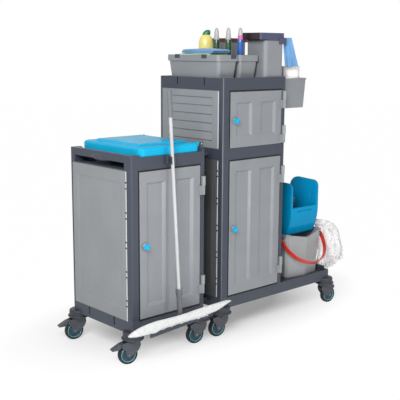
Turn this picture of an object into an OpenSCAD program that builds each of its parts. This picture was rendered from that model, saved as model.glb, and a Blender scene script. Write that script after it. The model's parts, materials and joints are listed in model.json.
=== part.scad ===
// Janitor cart: a low lidded cabinet, a tall cabinet with a top tray and a bucket platform, on casters.
// Millimetres. Worked out from the low cabinet's front left edge, then moved to the centre of the footprint.

/* [Cabinets] */
// Width of each cabinet along the cart
cab_w = 525; // [525:5:560]
// Depth of both cabinets
cab_d = 555; // [540:5:600]
// Gap between the low and the tall cabinet
cab_gap = 135; // [130:5:160]
// Length of the bucket platform beside the tall cabinet
deck_l = 477; // [470:1:540]
// Width of a front post on the knob side
post_l = 54; // [50:1:60]
// Width of a front post on the hinge side
post_r = 33; // [31:1:36]
// Depth of a front post
post_d = 36; // [30:1:42]
// Depth of a rear post
rear_d = 17; // [15:1:22]
// Corner radius of frames and posts
corner_r = 12; // [6:1:14]
// Wall of the moulded frames
wall = 6; // [4:0.5:8]
// Thickness of a moulded deck
deck_t = 6; // [4:0.5:8]
// Thickness of the wall panels
panel_t = 12; // [10:0.5:14]
// How far a panel lies behind the posts' faces
panel_set = 1.5; // [0.5:0.5:3]
// Clear strip between a panel and a post
panel_gap = 1; // [0.5:0.5:2]

/* [Heights] */
// Height of a moulded base
base_h = 66; // [60:1:80]
// Gap under the lower doors
sill_gap = 9; // [6:1:12]
// Gap above every door
head_gap = 8; // [5:1:10]
// Height of the lower doors
door_h = 800; // [720:10:860]
// Height of the upper door
upper_door_h = 320; // [280:10:360]
// Rim height of the low top frame
low_rim_h = 69; // [66:1:80]
// How much the two ends of the low top frame stand above its rim
end_rise = 13; // [8:1:16]
// Height of the frame between the tall cabinet's compartments
mid_h = 66; // [56:1:76]
// Gap under the upper door
upper_sill = 2; // [1:0.5:4]
// Height of the top tray frame
tray_h = 72; // [64:1:84]
// Depth of the top tray
tray_deep = 36; // [28:1:44]

/* [Doors] */
// Thickness of a door
door_t = 16; // [14:1:20]
// Gap beside a door
door_gap = 4; // [3:0.5:5]
// Plain border of a door above and below its sunk fields
door_border = 62; // [56:1:70]
// Plain border of a door beside its sunk fields
door_side = 50; // [46:1:56]
// Width of a sunk field
field_w = 128; // [116:1:134]
// Depth of a sunk field
field_deep = 8; // [3:0.5:9]
// Height of one hinge
hinge_h = 104; // [80:2:120]
// Hinge to door end distance
hinge_end = 62; // [40:1:80]
// Hinge barrel radius
barrel_r = 9; // [7:0.5:9]
// Hinge pin radius
hinge_pin_r = 3; // [2:0.5:4]
// Knob centre to door edge
knob_in = 36; // [32:1:40]
// Knob radius
knob_r = 22; // [18:1:24]
// Knob spindle radius
spindle_r = 5; // [4:0.5:6]
// Length of the latch cam
cam_l = 52; // [48:1:56]

/* [Lid] */
// Lid height above the rim
lid_h = 47; // [40:1:56]
// Height of the lid's raised centre
lid_raise = 12; // [6:1:16]
// Lid wall
lid_wall = 4; // [3:0.5:6]
// Lid corner radius
lid_r = 34; // [20:1:34]
// Lid pin radius
lid_pin_r = 4; // [3:0.5:5]

/* [Casters] */
// Wheel diameter
wheel_d = 110; // [104:1:114]
// Wheel width
wheel_w = 32; // [28:1:34]
// Trail of a caster wheel behind its stem
trail = 31; // [28:1:32]
// Caster height from the floor to the bumper
caster_h = 136; // [134:1:146]
// Radius of a bumper's flange
bumper_r = 62; // [58:1:64]
// Radius of a bumper's dome
dome_r = 54; // [48:1:56]
// Bumper height
bumper_h = 45; // [36:1:50]
// How far a base comes down over its bumpers
bumper_lap = 16; // [10:1:20]
// Stem distance from the base's edges
stem_in = 20; // [18:1:24]
// Stem radius
stem_r = 6; // [5:0.5:7]
// Axle radius
axle_r = 5; // [4:0.5:6]
// Fork cheek thickness
cheek_t = 4.5; // [3.5:0.5:5]

/* [Flat mop] */
// Pole radius
pole_r = 9.5; // [9:0.5:12]
// Lean of the pole, in degrees
pole_lean = 4.3; // [3.5:0.1:4.5]
// Pole length above the head joint
pole_l = 1222; // [1150:1:1260]
// Mop pad length
pad_l = 752; // [700:2:780]
// Mop pad width
pad_w = 56; // [50:1:64]
// Mop pad thickness
pad_t = 24; // [20:1:28]
// Tilt of the mop head, in degrees
head_tilt = 3.4; // [2:0.1:4]

/* [Tray load] */
// Rim width of a tray bin
bin_w = 170; // [162:1:170]
// Rim length of a tray bin
bin_l = 452; // [430:2:460]
// Height of a tray bin
bin_h = 163; // [150:1:172]
// Wall of a bin
bin_wall = 3; // [2.5:0.5:4]
// Width of a square pail
pail_w = 166; // [156:1:167]
// Height of a pail
pail_h = 252; // [220:1:270]
// Rim width of the side bin
side_bin_w = 222; // [210:1:230]
// Height of the side bin
side_bin_h = 182; // [160:1:200]
// Paper roll diameter
roll_d = 114; // [100:1:118]
// Paper roll height
roll_h = 250; // [220:1:260]

/* [Mop bucket] */
// Bucket width at the rim
bucket_w = 350; // [330:2:356]
// Bucket depth at the rim
bucket_d = 420; // [390:2:430]
// Bucket height
bucket_h = 290; // [270:1:300]
// Wall of the bucket
bucket_wall = 4; // [3:0.5:5]
// Depth of the pointed front
spout_v = 30; // [20:1:40]
// Wringer width
wringer_w = 264; // [250:2:276]
// Wringer depth
wringer_d = 236; // [220:2:250]
// Wringer height above the bucket
wringer_h = 345; // [320:1:370]
// Wringer wall
wringer_wall = 14; // [10:1:16]

/* [Hidden] */
$fn = 48;
hull_fn = 32;
eps = 0.5;
run_gap = 0.3;
pin_gap = 0.05;

slate = "#4e525c";
grey = "#9b9ea1";
blue = "#1aa6dc";
navy = "#4b4f6e";
red = "#c8382c";
white = "#ebebeb";

// Places along the cart
x_tall = cab_w + cab_gap;
x_deck = x_tall + cab_w;
x_end = x_deck + deck_l;

// Heights from the floor up
base_z = caster_h + bumper_h - bumper_lap;
base_top = base_z + base_h;
door_z = base_top + sill_gap;
head_z = door_z + door_h + head_gap;
low_rim_z = head_z + low_rim_h;
low_end_z = low_rim_z + end_rise;
mid_top = head_z + mid_h;
upper_z = mid_top + upper_sill;
tray_z = upper_z + upper_door_h + head_gap;
tray_top = tray_z + tray_h;
tray_floor = tray_top - tray_deep;

// Doors and hinges, from the cabinet's left face
door_x0 = post_l + door_gap;
door_x1 = cab_w - post_r - door_gap;
door_w = door_x1 - door_x0;
hinge_x = cab_w - 20;
hinge_y = -barrel_r - eps;
lug_back = -run_gap;
cam_t = 4;
cam_w = 16;
dial_t = 12;
knob_h = 24;
// Sloped edges of a door field: left, low, right, high
door_slopes = [5, 16, 20, 6.5];
knob_z_low = door_z + door_h / 2 - 2;
knob_z_upper = upper_z + upper_door_h / 2 - 4;

// Side panels between the posts
side_y0 = post_d + panel_gap;
side_y1 = cab_d - rear_d - panel_gap;

// Hook slots in the end rails
slot_spread = 236;
slot_w = 11;
slot_deep = 48;

// Lid and its hinge
lid_x0 = 72;
lid_x1 = cab_w - 27;
lid_y0 = 12;
lid_y1 = cab_d - 12;
lid_z = low_rim_z + run_gap;
lid_axis_x = cab_w - 12;
lid_axis_z = low_end_z + 27;
lug_w = 20;
lug_t = 12;
ear_l = 34;

// Casters: stem place, direction of trail and brake
caster_xy = [
    [stem_in, stem_in], [stem_in, cab_d - stem_in], [cab_w - stem_in, stem_in],
    [cab_w - stem_in, cab_d - stem_in], [x_tall + stem_in, stem_in], [x_tall + stem_in, cab_d - stem_in],
    [x_end - stem_in, stem_in], [x_end - stem_in, cab_d - stem_in]
];
caster_turn = [166, 166, 170, 285, 172, 255, -8, 260];
wheel_r = wheel_d / 2;
cheek_y = wheel_w / 2 + 2.5;
crown_r = 44;
crown_top = caster_h - run_gap;
stem_top = base_top - 10;
boss_r = stem_in - 2;
pedal_u = trail + 32;
pedal_z = wheel_r + 58;
pedal_pin_r = 3;
pedal_reach = 62;
pedal_drop = 22;
pedal_w = 2 * cheek_y - 2;

// Flat mop in its clip on the low top frame
clip_x = cab_w / 2 - 8;
clip_y = -36;
clip_z = head_z + 44;
clip_wall = 4;
head_pivot_s = 852;
grip_l = 142;
grip_r = 14;
socket_l = 150;
socket_r = 19;

// Tray load
bin_gap = -1;
bin_band = 36;
bin_x = x_tall + wall + 4;
bin_y = 55;
bin_rim_z = tray_floor + bin_h;
bin_draft = 22;
pail_x = bin_x + 2 * bin_w + bin_gap + 2.5;
pail_y = [12, cab_d - 230];
pail_draft = 4;
side_bin_x = x_deck + 2;
side_bin_y = 22;
side_bin_l = 420;
side_bin_rim = tray_top - 12;
bottle_x = bin_x + bin_w + bin_gap;
bottle_at = [for (b = [[67, 338], [52, 250], [66, 163], [88, 84]]) [bottle_x + b[0], bin_y + b[1]]];

// Mop bucket and wringer on the platform
deck_z = base_top - 14;
bucket_x = x_deck + 285;
bucket_y = 25;
bucket_z = deck_z + run_gap;
bucket_rim = bucket_z + bucket_h;
bucket_foot = 22;
bail_r = bucket_w / 2 + 18;
bail_y = bucket_y + 62;
bail_z = bucket_rim - 40;
bail_hang = 50;
bail_w = 26;
wringer_x = bucket_x - wringer_w / 2;
wringer_y = 64;
wringer_tuck = 41;
wringer_z = bucket_rim - 12;
lever_y = wringer_y + 120;
lever_z = wringer_z + 190;

// Centre of the whole cart's box
origin_x = 866;
origin_y = 228;

module placed() {
    translate([-origin_x, -origin_y, 0]) children();
}

// Flat rectangle with round corners, from its lower left corner
module plan(w, d, r) {
    translate([r, 0]) square([w - 2 * r, d]);
    translate([0, r]) square([w, d - 2 * r]);
    for (x = [r, w - r], y = [r, d - r]) translate([x, y]) circle(r);
}

// Block with round upright edges between two corners
module round_block(a, b, r) {
    translate(a) linear_extrude(b[2] - a[2]) plan(b[0] - a[0], b[1] - a[1], r);
}

module block(a, b) {
    translate(a) cube([b[0] - a[0], b[1] - a[1], b[2] - a[2]]);
}

// Sunk field in a face at y = 0, going in along +y, with a sloped edge left, low, right and high
module sloped_field(x, z, w, h, deep, slopes) {
    hull() {
        translate([x, -eps, z]) cube([w, eps, h]);
        translate([x + slopes[0], -eps, z + slopes[1]])
            cube([w - slopes[0] - slopes[2], deep + eps, h - slopes[1] - slopes[3]]);
    }
}

// Two hook slots in an end rail
module hook_slots(x, top) {
    for (s = [-1, 1])
        translate([x - eps, cab_d / 2 + s * slot_spread / 2 - slot_w / 2, top - slot_deep])
            cube([wall + 2 * eps, slot_w, slot_deep + eps]);
}

// Base moulding from x0 to x1 with the stems at the places in stems
module base_shell(x0, x1, stems) {
    difference() {
        union() {
            difference() {
                round_block([x0, 0, base_z], [x1, cab_d, base_top], corner_r);
                block([x0 + wall, wall, base_z - eps], [x1 - wall, cab_d - wall, base_top - deck_t]);
            }
            for (s = stems) translate([s[0], s[1], base_z]) cylinder(r = boss_r, h = base_h - deck_t / 2);
            for (y = [cab_d / 3, 2 * cab_d / 3])
                block([x0 + wall / 2, y - 3, base_z + 18], [x1 - wall / 2, y + 3, base_top - deck_t / 2]);
        }
        for (s = stems) translate([s[0], s[1], 0]) {
            translate([0, 0, base_z - eps]) cylinder(r = dome_r + eps, h = bumper_lap + eps);
            cylinder(r = stem_r + pin_gap, h = stem_top + 1);
        }
    }
}

module low_base() color(slate) placed() difference() {
    base_shell(0, cab_w, [for (i = [0:3]) caster_xy[i]]);
    hook_slots(0, base_top);
}

module long_base() color(slate) placed() {
    lip_t = 12;
    lip_h = 18;
    difference() {
        base_shell(x_tall, x_end, [for (i = [4:7]) caster_xy[i]]);
        block([x_deck + wall, wall, base_top - deck_t - eps],
            [x_end - wall, cab_d - wall, base_top + eps]);
        block([x_deck + wall, 60, deck_z], [x_end - wall, cab_d - 60, base_top]);
    }
    difference() {
        block([x_deck, wall / 2, deck_z - deck_t], [x_end - wall / 2, cab_d - wall / 2, deck_z]);
        for (i = [6, 7]) translate([caster_xy[i][0], caster_xy[i][1], 0])
            cylinder(r = stem_r + pin_gap, h = deck_z + 1);
    }
    block([x_end - lip_t, 40, deck_z - 1], [x_end, cab_d - 40, base_top + lip_h]);
}

// Flat bars that tie the low module to the tall one, low down and at the rim
module link_bars() color(slate) placed() {
    bar_w = 40;
    bar_t = 18;
    for (y = [cab_d / 4, 3 * cab_d / 4], z = [base_top - 36, head_z + 24])
        block([cab_w, y - bar_w / 2, z], [x_tall, y + bar_w / 2, z + bar_t]);
}

// Four corner posts of one cabinet between two heights, with a latch pocket at knob_z
module posts(x0, z0, z1, knob_z) {
    difference() {
        intersection() {
            round_block([x0, 0, z0], [x0 + cab_w, cab_d, z1], corner_r);
            union() {
                block([x0 - 1, -1, z0], [x0 + post_l, post_d, z1]);
                block([x0 + cab_w - post_r, -1, z0], [x0 + cab_w + 1, post_d, z1]);
                for (x = [x0 - 1, x0 + cab_w - post_d])
                    block([x, cab_d - rear_d, z0], [x + post_d + 1, cab_d + 1, z1]);
            }
        }
        translate([x0 + post_l - 18, door_t - 2, knob_z - cam_l + 6])
            cube([20, cam_t + 8, 2 * cam_l - 12]);
    }
}

module low_posts() color(slate) placed() posts(0, base_top, head_z, knob_z_low);

module tall_posts() color(slate) placed() {
    posts(x_tall, base_top, head_z, knob_z_low);
    posts(x_tall, mid_top, tray_z, knob_z_upper);
}

// Low top frame: rim, raised ends, bag ledge, hand opening and round grip at the left end
module low_top_frame() color(slate) placed() {
    bar_x = 32;
    inner_x = 54;
    inner_y = 30;
    ledge_y = 18;
    ledge_z = low_rim_z - 30;
    grip_y0 = 56;
    grip_y1 = cab_d - 44;
    grip_low = head_z + 6;
    grip_high = head_z + 42;
    difference() {
        union() {
            round_block([0, 0, head_z], [cab_w, cab_d, low_rim_z], corner_r);
            intersection() {
                round_block([0, 0, head_z], [cab_w, cab_d, low_end_z], corner_r);
                union() {
                    block([-1, -1, head_z], [lid_x0 - 8, cab_d + 1, low_end_z]);
                    block([lid_x1 + 2, -1, head_z], [cab_w + 1, cab_d + 1, low_end_z]);
                }
            }
        }
        block([inner_x, inner_y, head_z - eps], [cab_w - inner_y, cab_d - inner_y, low_end_z + eps]);
        block([inner_x, ledge_y, ledge_z], [cab_w - inner_y, cab_d - ledge_y, low_end_z + eps]);
        block([-1, grip_y0, grip_low], [inner_x + 1, grip_y1, grip_high]);
        block([bar_x, grip_y0, grip_low], [inner_x + 1, grip_y1, low_end_z + eps]);
    }
    translate([13, cab_d / 2, head_z + 52]) rotate([-90, 0, 0]) {
        for (m = [0, 1]) mirror([0, 0, m]) {
            cylinder(r = 21, h = 36);
            translate([0, 0, 36]) cylinder(r1 = 21, r2 = 12, h = 42);
        }
    }
    // Hinge lugs for the lid
    for (y = [lid_y0 + 4, lid_y1 - 4 - lug_t]) difference() {
        union() {
            block([lid_axis_x - lug_w / 2, y, low_end_z - 1],
                [lid_axis_x + lug_w / 2, y + lug_t, lid_axis_z]);
            translate([lid_axis_x, y, lid_axis_z]) rotate([-90, 0, 0]) cylinder(r = lug_w / 2, h = lug_t);
        }
        translate([lid_axis_x, y - 1, lid_axis_z]) rotate([-90, 0, 0])
            cylinder(r = lid_pin_r, h = lug_t + 2);
    }
}

// Frame between the tall cabinet's compartments, open below its deck
module mid_frame() color(slate) placed() difference() {
    round_block([x_tall, 0, head_z], [x_tall + cab_w, cab_d, mid_top], corner_r);
    block([x_tall + wall, wall, head_z - eps], [x_tall + cab_w - wall, cab_d - wall, mid_top - deck_t]);
}

// Top tray with hook slots in both end rails
module top_tray() color(slate) placed() difference() {
    round_block([x_tall, 0, tray_z], [x_tall + cab_w, cab_d, tray_top], corner_r);
    block([x_tall + wall, wall, tray_floor], [x_tall + cab_w - wall, cab_d - wall, tray_top + eps]);
    block([x_tall + wall, wall, tray_z - eps], [x_tall + cab_w - wall, cab_d - wall,
        tray_floor - deck_t]);
    hook_slots(x_tall, tray_top);
    hook_slots(x_tall + cab_w - wall, tray_top);
}

// Side panel in its own plane: width along x, outer face at y = 0
module side_panel(h) {
    w = side_y1 - side_y0;
    field_y = 44;
    field_z = 62;
    flutes = 5;
    flute_r = 90;
    flute_deep = 1.2;
    notch = [5, panel_t + 2, 7];
    pitch = (w - 2 * field_y) / flutes;
    difference() {
        cube([w, panel_t, h]);
        sloped_field(field_y, field_z, w - 2 * field_y, h - 2 * field_z, 4, [12, 12, 12, 12]);
        for (i = [0.5:1:flutes - 1])
            translate([field_y + 0.5 * pitch + i * pitch, 4 + flute_deep - flute_r, field_z + 60])
                cylinder(r = flute_r, h = h - 2 * field_z - 120);
        for (z = [80:160:h - 40], dz = [0, 32]) translate([-1, -1, z + dz]) cube(notch);
    }
}

// Puts a panel on the left side of a cabinet, or mirrored on its right side
module on_side(x0, right) {
    translate([right ? x0 + cab_w - panel_set : x0 + panel_set, side_y0, 0])
        mirror([right ? 1 : 0, 0, 0])
            rotate([0, 0, 90]) mirror([0, 1, 0]) children();
}

module side_panels() color(grey) placed()
    for (x0 = [0, x_tall], right = [false, true])
        translate([0, 0, base_top]) on_side(x0, right) side_panel(head_z - base_top);

// Louvre panel: a raised border round slats that shed outwards
module louvre_panel(h) {
    w = side_y1 - side_y0;
    field_y = 56;
    field_z = 40;
    slats = 5;
    slat_deep = 8;
    pitch = (h - 2 * field_z) / slats;
    difference() {
        cube([w, panel_t, h]);
        translate([field_y, -eps, field_z]) cube([w - 2 * field_y, slat_deep + eps, h - 2 * field_z]);
    }
    for (i = [0:slats - 1])
        translate([field_y, 0, field_z + i * pitch]) rotate([90, 0, 90])
            linear_extrude(w - 2 * field_y)
                polygon([[slat_deep + 1, 0], [slat_deep, 0], [2, 4], [1, 6], [slat_deep, pitch],
                    [slat_deep + 1, pitch]]);
}

module louvre_panels() color(grey) placed()
    for (right = [false, true])
        translate([0, 0, mid_top]) on_side(x_tall, right) louvre_panel(tray_z - mid_top);

// Back panel between the rear posts, its outer face towards +y
module back_panel(x0, z0, z1) {
    w = cab_w - 2 * post_d - 2 * panel_gap;
    translate([x0 + cab_w - post_d - panel_gap, cab_d - panel_set, z0]) rotate([0, 0, 180]) difference() {
        cube([w, panel_t, z1 - z0]);
        sloped_field(44, 50, w - 88, z1 - z0 - 100, 4, [12, 12, 12, 12]);
    }
}

module back_panels() color(grey) placed() {
    back_panel(0, base_top, head_z);
    back_panel(x_tall, base_top, head_z);
    back_panel(x_tall, mid_top, tray_z);
}

// Doors as left side, bottom and height, and the bottom of each door's two hinges
doors = [[0, door_z, door_h], [x_tall, door_z, door_h], [x_tall, upper_z, upper_door_h]];
function door_hinge_end(h) = h < 2 * (hinge_end + hinge_h) + 120 ? 4 : hinge_end;
function hinges_of(d) = [d[1] + door_hinge_end(d[2]), d[1] + d[2] - door_hinge_end(d[2]) - hinge_h];

// Upper half of each hinge, fixed to the post
module hinge_brackets() color(grey) placed()
    for (d = doors, z = hinges_of(d)) translate([d[0] + hinge_x, hinge_y, z + hinge_h / 2 + run_gap / 2])
        difference() {
        half = (hinge_h - run_gap) / 2;
        union() {
            cylinder(r = barrel_r, h = half);
            translate([-barrel_r, 0, 0]) cube([barrel_r + 16, -hinge_y, half]);
        }
        translate([0, 0, -1]) cylinder(r = hinge_pin_r, h = half + 2);
    }

// Door hinge pins and lid pins
module hinge_pins() color("#b9bcc0") placed() {
    for (d = doors, z = hinges_of(d)) translate([d[0] + hinge_x, hinge_y, z])
        cylinder(r = hinge_pin_r, h = hinge_h);
    for (y = [lid_y0 + 4, lid_y1 - 4 - lug_t - ear_l])
        translate([lid_axis_x, y, lid_axis_z]) rotate([-90, 0, 0])
            cylinder(r = lid_pin_r, h = lug_t + ear_l);
}

// Door with two sunk fields, its lower hinge halves and the spindle bore
module door(d, knob_z) {
    half = (hinge_h - run_gap) / 2;
    x0 = d[0] + door_x0;
    difference() {
        union() {
            difference() {
                block([x0, 0, d[1]], [d[0] + door_x1, door_t, d[1] + d[2]]);
                for (x = [x0 + door_side, d[0] + door_x1 - door_side - field_w])
                    sloped_field(x, d[1] + door_border, field_w, d[2] - 2 * door_border, field_deep,
                        door_slopes);
            }
            for (z = hinges_of(d)) translate([d[0] + hinge_x, hinge_y, z]) {
                cylinder(r = barrel_r, h = half);
                translate([door_x1 - hinge_x - 12, 0, 0])
                    cube([hinge_x - door_x1 + 12, -hinge_y + lug_back, half]);
                translate([door_x1 - hinge_x - 12, 0, 0]) cube([12, -hinge_y + 1, half]);
            }
        }
        for (z = hinges_of(d)) translate([d[0] + hinge_x, hinge_y, z - 1])
            cylinder(r = hinge_pin_r + pin_gap, h = half + 2);
        translate([x0 + knob_in, -1, knob_z]) rotate([-90, 0, 0])
            cylinder(r = spindle_r + pin_gap, h = door_t + 2);
    }
}

module low_door() color(grey) placed() door(doors[0], knob_z_low);
module lower_door() color(grey) placed() door(doors[1], knob_z_low);
module upper_door() color(grey) placed() door(doors[2], knob_z_upper);

// Knob dial with its arrow grip, spindle and latch cam
module knob(d, z) {
    translate([d[0] + door_x0 + knob_in, 0, z]) {
        rotate([90, 0, 0]) {
            translate([0, 0, run_gap]) cylinder(r = knob_r, h = dial_t - 4);
            translate([0, 0, run_gap + dial_t - 4]) cylinder(r1 = knob_r, r2 = knob_r - 4, h = 4);
            translate([0, 0, dial_t]) linear_extrude(knob_h - dial_t)
                polygon([[-knob_r + 5, 0], [3, 13], [12, 13], [8, 0], [12, -13], [3, -13]]);
            translate([0, 0, -door_t - run_gap - cam_t])
                cylinder(r = spindle_r, h = door_t + cam_t + 2 * run_gap + 1);
        }
        translate([-cam_w / 2, door_t + run_gap, -cam_w / 2]) cube([cam_w, cam_t, cam_l]);
    }
}

module low_knob() color(blue) placed() knob(doors[0], knob_z_low);
module lower_knob() color(blue) placed() knob(doors[1], knob_z_low);
module upper_knob() color(blue) placed() knob(doors[2], knob_z_upper);

// Lid: a shallow shell with a stepped centre and two hinge ears
module lid() color(blue) placed() {
    chamfer = 9;
    step_x = 58;
    step_y = 76;
    difference() {
        union() {
            hull() {
                round_block([lid_x0, lid_y0, lid_z], [lid_x1, lid_y1, lid_z + lid_h - chamfer], lid_r,
                    $fn = hull_fn);
                round_block([lid_x0 + chamfer, lid_y0 + chamfer, lid_z],
                    [lid_x1 - chamfer, lid_y1 - chamfer, lid_z + lid_h],
                            lid_r - chamfer / 2, $fn = hull_fn);
            }
            hull() {
                block([lid_x0 + step_x - 10, lid_y0 + step_y - 10, lid_z + lid_h - 1],
                      [lid_x1 - step_x + 10, lid_y1 - step_y + 10, lid_z + lid_h]);
                block([lid_x0 + step_x, lid_y0 + step_y, lid_z + lid_h],
                      [lid_x1 - step_x, lid_y1 - step_y, lid_z + lid_h + lid_raise]);
            }
        }
        round_block([lid_x0 + lid_wall, lid_y0 + lid_wall, lid_z - 1],
                    [lid_x1 - lid_wall, lid_y1 - lid_wall, lid_z + lid_h - lid_wall - chamfer / 2],
                        lid_r - lid_wall);
    }
    for (y = [lid_y0 + 4 + lug_t + run_gap, lid_y1 - 4 - lug_t - ear_l]) difference() {
        union() {
            block([lid_x1 - lid_wall, y, lid_axis_z - 8],
                [lid_axis_x, y + ear_l - run_gap, lid_axis_z + 8]);
            translate([lid_axis_x, y, lid_axis_z]) rotate([-90, 0, 0])
                cylinder(r = 8, h = ear_l - run_gap);
        }
        translate([lid_axis_x, y - 1, lid_axis_z]) rotate([-90, 0, 0])
            cylinder(r = lid_pin_r + pin_gap, h = ear_l + 2);
    }
}

// Wire hoop that holds a bag on the ledge under the lid
module bag_hoop() color("#b9bcc0") placed() {
    rod_r = 5;
    x0 = 62;
    x1 = cab_w - 38;
    y0 = 24;
    y1 = cab_d - 24;
    bend = 20;
    translate([0, 0, low_rim_z - 30 + rod_r]) {
        for (y = [y0, y1]) translate([x0 + bend, y, 0]) rotate([0, 90, 0])
            cylinder(r = rod_r, h = x1 - x0 - 2 * bend);
        for (x = [x0, x1]) translate([x, y0 + bend, 0]) rotate([-90, 0, 0])
            cylinder(r = rod_r, h = y1 - y0 - 2 * bend);
        for (c = [[x0 + bend, y0 + bend, 180], [x1 - bend, y0 + bend, 270], [x1 - bend, y1 - bend, 0],
            [x0 + bend, y1 - bend, 90]])
            translate([c[0], c[1], 0]) rotate([0, 0, c[2]]) rotate_extrude(angle = 90)
                translate([bend, 0]) circle(rod_r);
    }
}

// Round corner bumpers: a flange with a rounded edge under a dome
module bumpers() color(slate) placed()
    for (s = caster_xy) translate([s[0], s[1], caster_h]) rotate_extrude() {
        edge = 6;
        bend = 10;
        bore = stem_r + pin_gap;
        translate([bore, 0]) square([bumper_r - edge - bore, 2 * edge]);
        translate([bumper_r - edge, edge]) circle(edge);
        translate([bore, edge]) square([dome_r - bore, bumper_h - bend - edge]);
        translate([bore, edge]) square([dome_r - bend - bore, bumper_h - edge]);
        translate([dome_r - bend, bumper_h - bend]) circle(bend);
    }

// Caster fork: stem, crown, two cheeks, hood, axle and, on braked casters, the pedal pin
module fork(i) {
    brake = i < 2;
    translate([caster_xy[i][0], caster_xy[i][1], 0]) rotate([0, 0, caster_turn[i]]) {
        difference() {
            union() {
                translate([0, 0, wheel_d + 8]) cylinder(r1 = crown_r - 10, r2 = crown_r, h = 10);
                translate([0, 0, wheel_d + 18]) cylinder(r = crown_r, h = crown_top - wheel_d - 18);
                translate([0, 0, crown_top - 1]) cylinder(r = stem_r, h = stem_top - crown_top);
                for (side = [-1, 1]) translate([0, side * (cheek_y + cheek_t / 2) + cheek_t / 2, 0])
                    rotate([90, 0, 0])
                    linear_extrude(cheek_t) {
                        polygon([[-36, wheel_d + 12], [-38, wheel_d - 6], [-30, wheel_r + 28],
                            [-10, wheel_r + 6], [trail - 12, wheel_r - 7], [trail + 12, wheel_r - 7],
                            [trail + 20, wheel_r + 26], [pedal_u + 8, pedal_z - 12],
                                [pedal_u + 8, pedal_z],
                            [pedal_u, pedal_z + 8], [trail, wheel_d + 20]]);
                        translate([trail, wheel_r]) circle(14);
                        translate([pedal_u, pedal_z]) circle(8);
                    }
                translate([trail, 0, wheel_r]) rotate([90, 0, 0]) rotate([0, 0, 70])
                    rotate_extrude(angle = 80)
                    translate([wheel_r + 3, -cheek_y - 1]) square([5, 2 * cheek_y + 2]);
            }
            translate([trail, 0, wheel_r]) rotate([90, 0, 0])
                cylinder(r = axle_r, h = 4 * cheek_y, center = true);
            if (brake) translate([pedal_u, 0, pedal_z]) rotate([90, 0, 0])
                cylinder(r = pedal_pin_r, h = 4 * cheek_y, center = true);
        }
        pin_l = 2 * (cheek_y + cheek_t);
        translate([trail, 0, wheel_r]) rotate([90, 0, 0]) cylinder(r = axle_r, h = pin_l, center = true);
        if (brake) translate([pedal_u, 0, pedal_z]) rotate([90, 0, 0])
            cylinder(r = pedal_pin_r, h = pin_l, center = true);
    }
}

// Wheel: hub with a ring and bore, and a tyre round it
module wheel(i) {
    rim_r = wheel_r - 9;
    tread = 5;
    translate([caster_xy[i][0], caster_xy[i][1], 0]) rotate([0, 0, caster_turn[i]])
        translate([trail, 0, wheel_r]) rotate([90, 0, 0]) {
            color("#2f6f7a") rotate_extrude() polygon([
                [axle_r + pin_gap, -wheel_w / 2], [14, -wheel_w / 2], [16, -wheel_w / 2 + 4],
                [36, -wheel_w / 2 + 4], [37, -wheel_w / 2 + 1], [41, -wheel_w / 2 + 1],
                [42, -wheel_w / 2 + 4], [rim_r, -wheel_w / 2 + 4],
                [rim_r, wheel_w / 2 - 4], [42, wheel_w / 2 - 4], [41, wheel_w / 2 - 1],
                [37, wheel_w / 2 - 1], [36, wheel_w / 2 - 4], [16, wheel_w / 2 - 4],
                [14, wheel_w / 2], [axle_r + pin_gap, wheel_w / 2]]);
            color("#1c1e20") rotate_extrude() {
                translate([rim_r, -wheel_w / 2 + tread]) square([wheel_r - rim_r, wheel_w - 2 * tread]);
                translate([rim_r, -wheel_w / 2]) square([wheel_r - rim_r - tread, wheel_w]);
                for (z = [-1, 1]) translate([wheel_r - tread, z * (wheel_w / 2 - tread)]) circle(tread);
            }
        }
}

// Brake pedal on its pin
module pedal(i) {
    translate([caster_xy[i][0], caster_xy[i][1], 0]) rotate([0, 0, caster_turn[i]])
        translate([pedal_u, 0, pedal_z]) rotate([90, 0, 0]) difference() {
            union() {
                cylinder(r = 7, h = pedal_w, center = true);
                translate([0, 0, -pedal_w / 2]) linear_extrude(pedal_w)
                    polygon([[-3, 6], [14, 7], [pedal_reach, 3 - pedal_drop],
                        [pedal_reach, -pedal_drop - 3], [30, -24], [26, -24], [-3, -5]]);
            }
            cylinder(r = pedal_pin_r + pin_gap, h = 2 * pedal_w, center = true);
        }
}

module fork_1() color(slate) placed() fork(0);
module fork_2() color(slate) placed() fork(1);
module fork_3() color(slate) placed() fork(2);
module fork_4() color(slate) placed() fork(3);
module fork_5() color(slate) placed() fork(4);
module fork_6() color(slate) placed() fork(5);
module fork_7() color(slate) placed() fork(6);
module fork_8() color(slate) placed() fork(7);
module wheel_1() placed() wheel(0);
module wheel_2() placed() wheel(1);
module wheel_3() placed() wheel(2);
module wheel_4() placed() wheel(3);
module wheel_5() placed() wheel(4);
module wheel_6() placed() wheel(5);
module wheel_7() placed() wheel(6);
module wheel_8() placed() wheel(7);
module pedal_1() color(slate) placed() pedal(0);
module pedal_2() color(slate) placed() pedal(1);

// Turns a child built along +z, from the pole's head joint, into the leaning pole
module along_pole() {
    translate([clip_x, clip_y, clip_z]) rotate([-pole_lean, 0, 0]) translate([0, 0, -head_pivot_s])
        children();
}
head_y = clip_y - head_pivot_s * sin(pole_lean);
head_z_pivot = clip_z - head_pivot_s * cos(pole_lean);

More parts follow.
